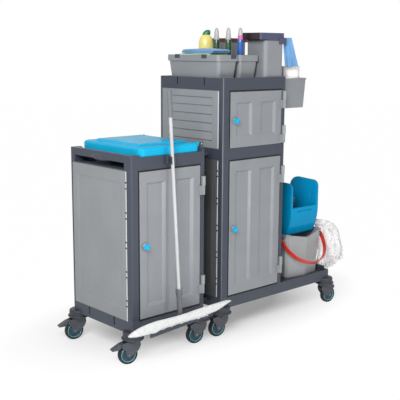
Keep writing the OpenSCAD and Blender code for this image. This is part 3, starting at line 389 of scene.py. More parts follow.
def piece(name, bm, body, materials, smooth=True, replaces=()):
    """Turns a bmesh into an object that rides on a body."""
    mesh = bpy.data.meshes.new(name)
    bm.to_mesh(mesh)
    bm.free()
    for mat in materials:
        mesh.materials.append(bpy.data.materials[mat])
    if smooth:
        mesh.shade_smooth()
    obj = bpy.data.objects.new(name, mesh)
    bpy.context.scene.collection.objects.link(obj)
    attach(obj, body)
    if replaces:
        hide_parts(*replaces)
    return obj


def spun(bm, profile, steps):
    """Spins a profile of (radius, height) about Z."""
    verts = [bm.verts.new((r, 0.0, z)) for r, z in profile]
    edges = [bm.edges.new(pair) for pair in zip(verts, verts[1:])]
    bmesh.ops.spin(bm, geom=verts + edges, cent=(0, 0, 0), axis=(0, 0, 1), angle=math.tau,
                   steps=steps, use_merge=True)
    bmesh.ops.remove_doubles(bm, verts=bm.verts[:], dist=1e-6)
    bmesh.ops.recalc_face_normals(bm, faces=bm.faces[:])


def spun_bodies(parts, steps):
    """Spins several profiles, each with its own material index, into one bmesh."""
    bm = bmesh.new()
    for index, profile in parts:
        one = bmesh.new()
        spun(one, profile, steps)
        for face in one.faces:
            face.material_index = index
        mesh = bpy.data.meshes.new("profile")
        one.to_mesh(mesh)
        one.free()
        bm.from_mesh(mesh)
        bpy.data.meshes.remove(mesh)
    return bm


def both_sides(side):
    """Profile of one side of a wheel, followed by its mirror image."""
    return side + [(r, -z) for r, z in reversed(side)]


def turned(axis):
    """Rotation that takes Z to an axis."""
    return Vector((0, 0, 1)).rotation_difference(Vector(axis)).to_matrix().to_4x4()


def peg(bm, segments, foot, head, depth, place):
    """Closed bar along Z with its middle at a place."""
    made = bmesh.ops.create_cone(bm, cap_ends=True, segments=segments, radius1=foot,
                                 radius2=head, depth=depth)
    bmesh.ops.translate(bm, vec=place, verts=made["verts"])


def soft_box(bm, low, high, bevel, segments):
    """Box between two corners with rounded edges."""
    made = bmesh.ops.create_cube(bm, size=1.0)["verts"]
    bmesh.ops.scale(bm, vec=high - low, verts=made)
    bmesh.ops.translate(bm, vec=(high + low) / 2, verts=made)
    edges = list({e for v in made for e in v.link_edges})
    bmesh.ops.bevel(bm, geom=edges, offset=bevel, segments=segments, profile=0.5,
                    affect="EDGES", material=-1)


def box_piece(name, corners, bevel, finish, segments=2):
    """Rounded boxes between corners in millimetres, as one piece on the cart."""
    bm = bmesh.new()
    for low, high in corners:
        soft_box(bm, at(*low), at(*high), bevel, segments)
    piece(name, bm, "cart", [finish], smooth=False)


def running(points):
    """Length of a line of points up to each one."""
    lengths = [0.0]
    for a, b in zip(points, points[1:]):
        lengths.append(lengths[-1] + (b - a).length)
    return lengths


def laid_sheet(rows):
    """Grid of points, row by row, as a cloth with a UV map in metres."""
    bm = bmesh.new()
    across = len(rows[0])
    made = bmesh.ops.create_grid(bm, x_segments=across - 1, y_segments=len(rows) - 1,
                                 size=0.5)["verts"]
    made.sort(key=lambda v: (round(v.co.y, 6), round(v.co.x, 6)))
    uv = bm.loops.layers.uv.new("UVMap")
    along, down = running(rows[0]), running([row[0] for row in rows])
    for i, (v, p) in enumerate(zip(made, [p for row in rows for p in row])):
        v.co = p
        v.index = i
    for face in bm.faces:
        for loop in face.loops:
            i = loop.vert.index
            loop[uv].uv = (along[i % across], down[i // across])
    bmesh.ops.recalc_face_normals(bm, faces=bm.faces[:])
    return bm


class JANITOR_OT_finishes(bpy.types.Operator):
    """Builds the finishes and gives the moulded pieces theirs"""

    bl_idname = "janitor.finishes"
    bl_label = "Plastic and metal finishes"

    def execute(self, context):
        col, _, _ = cart()
        moulded_group()
        weave_group()
        fibre_group()
        moulded("Frame plastic", col.frame_grey, PALE_FRAME, gloss=0.42, wear=0.40,
                Specular_IOR_Level=0.38)
        moulded("Panel plastic", col.panel_grey, PALE_PANEL, gloss=0.36, wear=0.30, rounded=0.004)
        side = moulded("Side plastic", SIDE_GREY, (0.42, 0.43, 0.44), gloss=0.42, wear=0.30,
                       rounded=0.004)
        # Painted shade: the side panels between GAP_LEFT and GAP_RIGHT, in the narrow gap between
        # the cabinets, are darkened
        banded(side, [(GAP_LEFT, (0.085, 0.088, 0.094)), (GAP_RIGHT, SIDE_GREY)], "X")
        moulded("Louvre plastic", (0.238, 0.250, 0.264), PALE_PANEL, gloss=0.36, wear=0.30,
                rounded=0.004)
        moulded("Bucket plastic", (0.315, 0.322, 0.335), PALE_GREY, gloss=0.38, wear=0.30,
                rounded=0.005)
        moulded("Lid plastic", col.lid_blue, (0.25, 0.62, 0.85), gloss=0.36, wear=0.25,
                rounded=0.005, Specular_IOR_Level=0.22)
        moulded("Wringer plastic", col.wringer_blue, (0.15, 0.50, 0.80), gloss=0.30, wear=0.2,
                rounded=0.008, Specular_IOR_Level=0.08)
        moulded("Bail plastic", col.bail_red, (0.75, 0.20, 0.15), gloss=0.28, wear=0.2)
        navy = moulded("Navy plastic", (0.016, 0.006, 0.010), (0.14, 0.15, 0.26), gloss=0.36,
                       wear=0.25, rounded=0.006)
        banded(navy, [(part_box("pail_lid")[0][0] + LID_EDGE, col.lid_navy)], "X")
        moulded("Grey plastic", (0.22, 0.225, 0.23), (0.40, 0.40, 0.40), gloss=0.42)
        moulded("Caster plastic", (0.038, 0.044, 0.057), PALE_FRAME, gloss=0.44)
        moulded("Bumper plastic", (0.027, 0.031, 0.041), PALE_FRAME, gloss=0.46,
                Specular_IOR_Level=0.35)
        moulded("Hinge plastic", (0.27, 0.28, 0.285), PALE_GREY, gloss=0.36, wear=0.3)
        moulded("Drawn steel", (0.62, 0.63, 0.64), (0.75, 0.75, 0.75), gloss=0.30, wear=0.5,
                Metallic=1.0)
        moulded("Dark steel", (0.20, 0.205, 0.21), (0.45, 0.45, 0.45), gloss=0.38, wear=0.5,
                Metallic=1.0)
        pole = moulded("Painted pole", (0.095, 0.098, 0.115), (0.85, 0.85, 0.85), gloss=0.30,
                       wear=0.15)
        banded(pole, [(SOCKET_END, col.pole_white), (GRIP_START, (0.130, 0.137, 0.150))])
        pail = moulded("Pail plastic", col.panel_grey, PALE_PANEL, gloss=0.36, wear=0.25,
                       rounded=0.004)
        banded(pail, [(PAIL_RIM, (0.055, 0.030, 0.036))])
        for finish, nodes in FINISH_OF.items():
            dress(finish, *nodes)
        return {"FINISHED"}


class JANITOR_OT_wheels(bpy.types.Operator):
    """Turns the caster wheels: tyre, ring and disc, with the axle nuts on the forks"""

    bl_idname = "janitor.wheels"
    bl_label = "Caster wheels"

    def profiles(self):
        """Profiles of a wheel about its axle, in metres, with their material indices."""
        half, tread, bead, bore = 0.016, 0.055, 0.0450, 0.0052
        flank = [(0.0455, 0.001 - half), (0.0490, -half), (0.0518, 0.0016 - half),
                 (0.0538, 0.0045 - half), (tread, 0.008 - half), (tread, -0.0030),
                 (0.0544, -0.0022)]
        tyre = both_sides(flank) + [(bead, half - 0.004), (bead, 0.004 - half), flank[0]]
        face = [(bore, 0.001 - half), (0.0125, 0.001 - half), (0.0140, 0.002 - half),
                (0.0160, 0.005 - half), (0.0360, 0.005 - half), (bead, 0.004 - half)]
        disc = both_sides(face) + [face[0]]
        hoop = ((0.0390, 0.0), (0.0393, 0.0028), (0.0398, 0.0034), (0.0408, 0.0034),
                (0.0413, 0.0028), (0.0416, 0.0))
        rings = [(1, [(r, side * (half - 0.005) + side * rise) for r, rise in hoop])
                 for side in (-1, 1)]
        return [(0, tyre), (2, disc), *rings]

    def execute(self, context):
        col, sizes, _ = cart()
        moulded("Tyre rubber", (0.005, 0.0055, 0.0062), (0.03, 0.03, 0.03), gloss=0.55, wear=0.3,
                rounded=0.0015, bump=(0.2, 0.0005), Specular_IOR_Level=0.3)
        moulded("Wheel ring", col.ring_teal, (0.50, 0.72, 0.74), gloss=0.35, wear=0.3, rounded=0.0)
        moulded("Wheel disc", col.hub_teal, (0.12, 0.24, 0.30), gloss=0.24, wear=0.3, rounded=0.0,
                Specular_IOR_Level=0.3)
        nut_place, end_place = 0.0250, 0.0275
        for i in CASTERS:
            joint = JOINTS[f"roll_{i}"]
            place = Matrix.Translation(joint["pos_m"]) @ turned(joint["axis"])
            bm = spun_bodies(self.profiles(), sizes.wheel_steps)
            bmesh.ops.transform(bm, matrix=place, verts=bm.verts[:])
            piece(f"caster_wheel_{i}", bm, f"roller_{i}",
                  ["Tyre rubber", "Wheel ring", "Wheel disc"],
                  replaces=[f"wheel_{i}"])
            nuts = bmesh.new()
            for side in (-1, 1):
                peg(nuts, 6, 0.0058, 0.0058, 0.004, (0, 0, side * nut_place))
                peg(nuts, 16, 0.0038, 0.0032, 0.005, (0, 0, side * end_place))
            bmesh.ops.transform(nuts, matrix=place, verts=nuts.verts[:])
            piece(f"axle_nuts_{i}", nuts, f"caster_{i}", ["Dark steel"], smooth=False)
        return {"FINISHED"}


class JANITOR_OT_flat_mop(bpy.types.Operator):
    """Makes the crowned flat mop pad with its looped fringe"""

    bl_idname = "janitor.flat_mop"
    bl_label = "Flat mop pad"

    # Edges of the pad as (along, height) from the head's joint, in millimetres
    UPPER = ((-376, 2), (-352, 15), (-330, 22), (-300, 28), (-250, 32), (-200, 33), (-130, 27),
             (-60, 21), (10, 18), (160, 17), (235, 14), (305, 11), (340, 7), (358, 1))
    LOWER = ((-376, -3), (-352, -11), (-305, -19), (-240, -27), (-206, -31), (-170, -24),
             (-135, -20), (-65, -23), (5, -27), (78, -31), (115, -35), (190, -34), (230, -32),
             (268, -25), (308, -15), (358, -1))
    HALF_LENGTH, SHIFT = 366.0, -9.0
    FRONT, BACK = -42.5, -19.3
    TILT = math.radians(-3.4)

    def edge_at(self, table, x):
        """Height of an edge at a place along the pad."""
        for (x0, z0), (x1, z1) in zip(table, table[1:]):
            if x <= x1:
                return z0 + (z1 - z0) * (x - x0) / (x1 - x0)
        return table[-1][1]

    def pad(self, waves):
        """Padded body with an uneven lower edge."""

        def wander(x):
            return sum(math.sin(k * 0.024 * x + p) for k, p in waves) / len(waves)

        bm = bmesh.new()
        bmesh.ops.create_cube(bm, size=2.0)
        for axis, cuts in (("x", 95), ("z", 13), ("y", 5)):
            edges = [e for e in bm.edges
                     if abs(getattr(e.verts[0].co, axis) - getattr(e.verts[1].co, axis)) > 1]
            bmesh.ops.subdivide_edges(bm, edges=edges, cuts=cuts, use_grid_fill=True)
        for v in bm.verts:
            x, depth, up = v.co.x * self.HALF_LENGTH + self.SHIFT, v.co.y, v.co.z
            top = self.edge_at(self.UPPER, x)
            low = self.edge_at(self.LOWER, x) + 2.4 * wander(x)
            rim = abs(up) ** 5
            middle, half = (top + low) / 2, (top - low) / 2
            end = abs(v.co.x) ** 14
            front = self.FRONT + 11.0 * rim + 6.0 * end + 1.2 * wander(1.7 * x + 40 * up)
            back = self.BACK - 3.0 * rim
            y = back + (front - back) * (1 - depth) / 2
            bow = 1.0 - 0.10 * max(0.0, depth) * rim
            v.co = Vector((x, y, middle + half * up * bow)) / MM
        for _ in range(2):
            bmesh.ops.smooth_vert(bm, verts=bm.verts[:], factor=0.4, use_axis_x=True,
                                  use_axis_y=True, use_axis_z=True)
        return bm

    def fringe(self, loops, rand):
        """Half rings of yarn under the middle of the pad."""
        start, span, thread = -160, 330, 0.0019
        bm = bmesh.new()
        for k in range(loops):
            x = start + span * (k + rand.uniform(-0.4, 0.4)) / loops
            verts = bmesh.ops.create_circle(bm, segments=4, radius=thread)["verts"]
            edges = list({e for v in verts for e in v.link_edges})
            y = rand.uniform(-34, -24)
            base = Vector((x, y, self.edge_at(self.LOWER, x) + rand.uniform(1, 5))) / MM
            turn = Matrix.Rotation(rand.uniform(-0.9, 0.9), 3, "Z")
            reach = turn @ Vector((rand.uniform(0.0035, 0.0060), 0, 0))
            bmesh.ops.translate(bm, vec=base, verts=verts)
            bmesh.ops.spin(bm, geom=verts + edges, cent=base + reach,
                           axis=turn @ Vector((0, -1, 0)), angle=math.radians(180), steps=6)
        return bm

    def execute(self, context):
        col, sizes, _ = cart()
        finish_with("Looped pile", "Cotton fibre", {"Colour": col.pad_white, "Shadow": 0.86},
                    (0.55, 0.0035), Sheen_Weight=0.3)
        joint = JOINTS["mop_head_tilt"]["pos_m"]
        place = Matrix.Translation(joint) @ Matrix.Rotation(self.TILT, 4, "Y")
        rand = random.Random(11)
        waves = [(rand.uniform(0.8, 4.0), rand.uniform(0, math.tau)) for _ in range(6)]
        bm = self.pad(waves)
        fringe = self.fringe(sizes.loops, rand)
        for made in (bm, fringe):
            bmesh.ops.recalc_face_normals(made, faces=made.faces[:])
            bmesh.ops.transform(made, matrix=place, verts=made.verts[:])
        pad = piece("mop_pad_soft", bm, "mop_head", ["Looped pile"],
                    replaces=["mop_pad"])
        tufts = pad.modifiers.new("Tufts", "SUBSURF")
        tufts.levels = tufts.render_levels = 1
        piece("mop_fringe", fringe, "mop_head", ["Looped pile"])
        return {"FINISHED"}


class JANITOR_OT_string_mop(bpy.types.Operator):
    """Lays the string mop's strands over the bucket's rim"""

    bl_idname = "janitor.string_mop"
    bl_label = "String mop"

    def strand(self, t, rand):
        """Points of one strand, t from the rearmost strand to the foremost, in millimetres."""
        lift = rand.random()
        start = at(1626 + 20 * rand.random(), 150 + 34 * t, 512 + 20 * lift)
        crest = at(1686 + 60 * t * rand.uniform(0.8, 1.1),
                   152 - 76 * t + 14 * rand.uniform(-1, 1), 507 + 32 * lift ** 0.6 - 12 * t)
        swing = rand.uniform(-1, 1)
        drop = rand.random()
        knee = at(1700 + 104 * t + 14 * swing, 136 - 94 * t + 12 * swing + 8 * lift,
                  424 + 44 * lift + 10 * swing)
        fall = at(1702 + 116 * t + 16 * swing, 130 - 98 * t + 16 * swing,
                  316 + 22 * swing + 12 * t)
        end = at(1700 + 118 * t + 18 * swing, 126 - 92 * t + 22 * rand.uniform(-1, 1),
                 186 + 62 * drop + 84 * t * t)
        return [start, crest, knee, fall, end]

    def execute(self, context):
        col, sizes, _ = cart()
        finish_with("Cotton yarn", "Cotton fibre", {"Colour": col.yarn, "Shadow": 0.74},
                    (0.7, 0.002), Sheen_Weight=0.25)
        rand = random.Random(5)
        data = bpy.data.curves.new("strands", "CURVE")
        data.dimensions = "3D"
        data.bevel_depth = sizes.strand_width / 2
        data.bevel_resolution = 0
        data.resolution_u = 3
        data.use_fill_caps = True
        for k in range(sizes.strands):
            points = self.strand(k / (sizes.strands - 1), rand)
            line = data.splines.new("BEZIER")
            line.bezier_points.add(len(points) - 1)
            for point, place in zip(line.bezier_points, points):
                point.co = place
                point.handle_left_type = point.handle_right_type = "AUTO"
                point.radius = rand.uniform(0.85, 1.1)
        curve = bpy.data.objects.new("strands", data)
        bpy.context.scene.collection.objects.link(curve)
        bpy.context.view_layer.update()
        final = curve.evaluated_get(bpy.context.evaluated_depsgraph_get())
        mesh = bpy.data.meshes.new_from_object(final)
        bpy.data.objects.remove(curve)
        bm = bmesh.new()
        bm.from_mesh(mesh)
        bpy.data.meshes.remove(mesh)
        piece("string_mop_strands", bm, "cart", ["Cotton yarn"],
              replaces=["string_mop"])
        return {"FINISHED"}


class JANITOR_OT_cloths(bpy.types.Operator):
    """Folds the two cloths on the first bin and hangs the third beside the pail"""

    bl_idname = "janitor.cloths"
    bl_label = "Cloths"

    SPAN_STEPS, TURN_STEPS, WIDTH_STEPS = 26, 6, 24
    HUNG_STEPS, HUNG_WIDTH_STEPS = 40, 60

    def thicken(self, obj, thickness):
        """Gives a laid sheet its thickness and rounds it."""
        wall = obj.modifiers.new("Thickness", "SOLIDIFY")
        wall.thickness = thickness
        wall.offset = 0.0
        soft = obj.modifiers.new("Soft", "SUBSURF")
        soft.levels = soft.render_levels = 1

    def fold_path(self, y0, y1, z0, pitch, layers):
        """Line back and forth along Y with round turns, in millimetres."""
        path = []
        for k in range(layers):
            z = z0 + pitch * (k + 0.5)
            span = [y0 + pitch / 2 + (y1 - y0 - pitch) * i / self.SPAN_STEPS
                    for i in range(self.SPAN_STEPS + 1)]
            if k % 2:
                span.reverse()
            path += [(y, z) for y in span]
            if k < layers - 1:
                side = -1 if k % 2 else 1
                for a in range(1, self.TURN_STEPS):
                    turn = -math.pi / 2 + math.pi * a / self.TURN_STEPS
                    path.append((span[-1] + side * pitch / 2 * math.cos(turn),
                                 z + pitch / 2 + pitch / 2 * math.sin(turn)))
        return path

    def folded(self, name, x0, x1, y0, y1, z0, z1, layers, mat, seed):
        """One cloth folded back and forth, sagging and crowned a little more in each layer."""
        rand = random.Random(seed)
        pitch = (z1 - z0) / layers
        path = self.fold_path(y0, y1, z0, pitch, layers)
        phase = [rand.uniform(0, math.tau) for _ in range(3)]
        middle, half = (y0 + y1) / 2, (y1 - y0) / 2
        rows = []
        for y, z in path:
            row = []
            sag = (z - z0) / (z1 - z0)
            for i in range(self.WIDTH_STEPS + 1):
                u = i / self.WIDTH_STEPS
                x = x0 + (x1 - x0) * u
                drop = 2.2 * sag * (math.sin(7.0 * u + phase[0])
                                    * math.sin(y * 0.022 + phase[1]))
                crown = 9.0 * sag * (1 - (2 * u - 1) ** 2) * (1 - 0.7 * ((y - middle) / half) ** 2)
                rim = 3.0 * sag * (abs(2 * u - 1) ** 6) - crown
                row.append(at(x + 1.4 * math.sin(y * 0.05 + phase[2] + z), y, z + drop - rim))
            rows.append(row)
        obj = piece(name, laid_sheet(rows), "cart", [mat])
        self.thicken(obj, 0.00086 * pitch)
        return obj

    def hung_rows(self):
        """Rows of the hanging cloth, from the clip down, wider and deeper folded below."""
        top = at(1203, 16, 1741)
        rows = []
        for j in range(self.HUNG_STEPS + 1):
            v = j / self.HUNG_STEPS
            width = 52 + 30 * v
            row = []
            for i in range(self.HUNG_WIDTH_STEPS + 1):
                u = i / self.HUNG_WIDTH_STEPS
                fold = (7 * (0.4 + 0.6 * v) * math.sin(math.tau * 2.5 * u)
                        + 1.2 * v * math.sin(19 * u + 5 * v))
                hem = 2.5 * v * math.sin(math.tau * 1.5 * u + 0.6)
                shift = Vector((46 * v + 0.66 * width * (u - 0.5) + 0.75 * fold,
                                -0.75 * width * (u - 0.5) + 0.66 * fold, -172 * v + hem))
                row.append(top + shift / MM)
            rows.append(row)
        return rows

    def execute(self, context):
        col, sizes, _ = cart()
        for name, tint in (("Blue weave", col.cloth_blue), ("Green weave", col.cloth_green)):
            finish_with(name, "Cloth weave", {"Colour": tint, "Threads": 260.0}, (0.35, 0.0006),
                        Sheen_Weight=0.25)
        green = self.folded("cloth_green_folded", 682.5, 827.5, 137, 407, 1618, 1645, 4,
                            "Green weave", 3)
        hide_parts("folded_cloths")
        self.folded("cloth_blue_folded", 685, 825, 119, 385, 1647, 1668, 3, "Blue weave", 8)
        hung = piece("cloth_blue_hung", laid_sheet(self.hung_rows()), "cart", ["Blue weave"],
                     replaces=["hanging_cloth"])
        self.thicken(hung, sizes.cloth_thickness)
        return {"FINISHED"}


class JANITOR_OT_bottles(bpy.types.Operator):
    """Stands the cleaning bottles and the paper roll in their bins"""

    bl_idname = "janitor.bottles"
    bl_label = "Bottles and paper roll"

    # Profiles as (radius, height) in metres
    YELLOW_BODY = [(0, 0), (0.034, 0), (0.038, 0.003), (0.0395, 0.010), (0.0395, 0.125),
                   (0.0385, 0.145), (0.0410, 0.168), (0.0440, 0.205), (0.0432, 0.236),
                   (0.0370, 0.260), (0.0260, 0.274), (0.0225, 0.279), (0, 0.279)]
    YELLOW_CAP = [(0, 0.2785), (0.0235, 0.2785), (0.0240, 0.2800), (0.0232, 0.290),
                  (0.0200, 0.299), (0.0140, 0.305), (0.0070, 0.3080), (0, 0.3085)]
    SLIM_BODY = [(0, 0), (0.015, 0), (0.0182, 0.0024), (0.0188, 0.008), (0.0188, 0.232),
                 (0.0175, 0.246), (0.0140, 0.256), (0.0130, 0.262), (0, 0.262)]
    SLIM_COLLAR = [(0.0131, 0.2475), (0.0160, 0.2475), (0.0165, 0.2495), (0.0160, 0.2700),
                   (0.0150, 0.2712), (0, 0.2712)]
    SLIM_CAP = [(0.0138, 0.2716), (0.0138, 0.2850), (0.0118, 0.3000), (0.0085, 0.3120),
                (0.0050, 0.3170), (0, 0.3185)]
    ROLL = [(0.020, 0.0), (0.0540, 0.0), (0.0562, 0.0012), (0.0568, 0.0035), (0.0570, 0.090),
            (0.0566, 0.1255), (0.0570, 0.161), (0.0568, 0.2465), (0.0562, 0.2488),
            (0.0540, 0.2500), (0.0440, 0.2492), (0.0330, 0.2500), (0.0215, 0.2490),
            (0.020, 0.248), (0.020, 0.0)]

    def finishes(self):
        """Plastics, liquids and paper."""
        clean = {"wear": 0.1, "rounded": 0.0}
        liquid = {"gloss": 0.20, "wear": 0.0, "rounded": 0.0, "Coat_Weight": 0.2}
        moulded("Yellow bottle", (0.80, 0.70, 0.22), (0.88, 0.82, 0.45), gloss=0.28, **clean)
        moulded("Green cap", (0.010, 0.160, 0.045), (0.10, 0.30, 0.15), gloss=0.30, **clean)
        moulded("Green liquid", (0.004, 0.055, 0.012), (0.05, 0.25, 0.08), **liquid)
        moulded("Blue liquid", (0.006, 0.085, 0.340), (0.05, 0.18, 0.55), **liquid)
        moulded("Pink collar", (0.54, 0.10, 0.28), (0.80, 0.40, 0.55), gloss=0.35, **clean)
        moulded("Frosted cap", (0.50, 0.50, 0.50), (0.70, 0.70, 0.70), gloss=0.30,
                Transmission_Weight=0.20, IOR=1.42, **clean)
        finish_with("Crepe paper", "Cotton fibre", {"Colour": (0.92, 0.89, 0.88), "Shadow": 0.95},
                    (0.4, 0.0008))

    def execute(self, context):
        self.finishes()
        bend_start, bend_height, bend, flatness = 0.265, 0.043, 0.012, 0.66
        bm = spun_bodies([(0, self.YELLOW_BODY), (1, self.YELLOW_CAP)], 40)
        for v in bm.verts:
            v.co.x += bend * max(0.0, (v.co.z - bend_start) / bend_height) ** 2
        bmesh.ops.scale(bm, vec=(1.0, flatness, 1.0), verts=bm.verts[:])
        turn = Matrix.Rotation(math.radians(-42.5), 4, "Z")
        place = Matrix.Translation(at(896, 402, BIN_FLOOR)) @ turn
        bmesh.ops.transform(bm, matrix=place, verts=bm.verts[:])
        piece("bottle_yellow", bm, "cart", ["Yellow bottle", "Green cap"],
              replaces=["bottles"])
        for name, x, y, fluid, collar in (
                ("bottle_green_1", 892.5, 305, "Green liquid", "Frosted cap"),
                ("bottle_green_2", 906.5, 218, "Green liquid", "Frosted cap"),
                ("bottle_blue", 928.5, 139, "Blue liquid", "Pink collar")):
            profiles = (self.SLIM_BODY, self.SLIM_COLLAR, self.SLIM_CAP)
            bm = spun_bodies(enumerate(profiles), 32)
            bmesh.ops.translate(bm, vec=at(x, y, BIN_FLOOR), verts=bm.verts[:])
            piece(name, bm, "cart", [fluid, collar, "Frosted cap"])
        bm = spun_bodies([(0, self.ROLL)], 64)
        bmesh.ops.translate(bm, vec=at(1331, 98, 1320.2), verts=bm.verts[:])
        piece("paper_roll_wound", bm, "cart", ["Crepe paper"],
              replaces=["paper_roll"])
        return {"FINISHED"}


class JANITOR_OT_trim(bpy.types.Operator):
    """Adds bin clips, pale beads that paint highlights on panel edges and tall corners, dark marks
    that paint shade in snap notches, door gaps and slots, and knob wings
    """

    bl_idname = "janitor.trim"
    bl_label = "Clips, highlight beads and shade strips"

    # Outline of a knob's wing about its axle, in metres
    WING = ((-0.029, 0.0), (-0.004, 0.016), (0.014, 0.016), (0.009, 0.0), (0.014, -0.016),
            (-0.004, -0.016))
    WING_DEPTH, WING_ROUND, WING_PROUD = 0.0135, 0.0022, 0.0006

    def panel_edges(self):
        """Dark marks painting the shade in the snap notches, and pale beads painting a highlight,
        along the front edges of the side panels.
        """
        levels = [306 + 160 * row + step for row in range(5) for step in (0, 32)]
        # Painted shade: dark marks stand in for the shade inside the snap notches on the panel
        # edges
        box_piece("panel_notch_shades", [((x, 38, z), (x + 2.0, 50, z + 8))
                                  for x in (LOW_X, TALL_X) for z in levels],
                  0.0006, "Tyre rubber")
        panels = ((LOW_X, LOWER_PANEL), (TALL_X, LOWER_PANEL), (TALL_X, UPPER_PANEL))
        # Painted highlight: pale beads stand in for the highlight on the panels' rounded front
        # edges
        box_piece("panel_highlight_beads", [((x + 0.6, 37.4, low), (x + 2.1, 44.5, high))
                                  for x, (low, high) in panels],
                  0.0005, "Pale highlight bead")

    def corner_highlight_beads(self):
        """Thin pale bars on the tall cabinet's left corners, standing in for a painted highlight
        along the corner edges.
        """
        bm = bmesh.new()
        for y in (3.4, 551.6):
            peg(bm, 10, 0.0018, 0.0018, 1.283, at(TALL_X + 3.4, y, 868.5))
        piece("corner_highlight_beads", bm, "cart", ["Grey plastic"])

    def door_gap_shades(self):
        """Dark strips beside, over and under the doors: painted shade in the deep door gaps."""
        left, inner, right, proud = 48.5, 56.8, 491, -0.6
        strips = []
        for x, (low, high), under in ((LOW_X, LOWER_DOOR, True), (TALL_X, LOWER_DOOR, True),
                                      (TALL_X, UPPER_DOOR, False)):
            strips.append(((x + left, proud, low), (x + inner, 2.4, high)))
            strips.append(((x + left, proud, high + 1.6), (x + right, 3.4, high + 9.5)))
            if under:
                strips.append(((x + left, proud, low - 10.0), (x + right, 3.4, low - 1.6)))
        box_piece("door_gap_shades", strips, 0.0005, "Tyre rubber")

    def knob_wings(self):
        """Blue wings that turn with the knobs."""
        for name in KNOBS:
            axle = JOINTS[f"{name}_turn"]["pos_m"]
            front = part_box(name)[0][1] - self.WING_PROUD
            bm = bmesh.new()
            face = bm.faces.new([bm.verts.new((axle[0] + x, front, axle[2] + z))
                                 for x, z in self.WING])
            made = bmesh.ops.extrude_face_region(bm, geom=[face])["geom"]
            bmesh.ops.translate(bm, vec=(0, self.WING_DEPTH, 0),
                                verts=[v for v in made if isinstance(v, bmesh.types.BMVert)])
            bmesh.ops.recalc_face_normals(bm, faces=bm.faces[:])
            bmesh.ops.bevel(bm, geom=bm.edges[:], offset=self.WING_ROUND, segments=3, profile=0.5,
                            affect="EDGES", material=-1)
            piece(f"{name}_wing", bm, name, ["Lid plastic"], smooth=False)

    def execute(self, context):
        # Pale colour of the beads that paint the highlight on the panel edges
        moulded("Pale highlight bead", (0.62, 0.63, 0.64), (0.70, 0.70, 0.70), gloss=0.34, wear=0.1,
                rounded=0.0)
        moulded("Maroon band", (0.060, 0.014, 0.020), (0.12, 0.05, 0.06), gloss=0.42, wear=0.2,
                rounded=0.001)
        box_piece("bin_clips", [((668, 386, 1618), (673, 429, BIN_RIM)),
                                ((668, 152, 1618), (673, 195, BIN_RIM)),
                                ((770, 53, 1616), (813, 58, BIN_RIM))],
                  0.0016, "Frame plastic", segments=3)
        self.panel_edges()
        self.corner_highlight_beads()
        self.door_gap_shades()
        self.knob_wings()
        # Painted shade: dark strips behind the slots in the frame walls stand in for the shade
        # inside them
        box_piece("slot_shade_backings", [((x, y - 8, top - 52), (x + 1.5, y + 8, top - 1))
                                    for x, top in ((6.3, 226), (666.3, 1511), (1177.2, 1511))
                                    for y in (159.5, 395.5)],
                  0.0004, "Tyre rubber")
        foot, rim = 1714, 1738
        box_piece("pail_rim_band", [((1009.6, 323, foot), (1015, 493, rim)),
                                    ((1174, 323, foot), (1179.4, 493, rim)),
                                    ((1015, 323, foot), (1174, 328.4, rim)),
                                    ((1015, 487.6, foot), (1174, 493, rim))],
                  0.0012, "Maroon band")
        return {"FINISHED"}


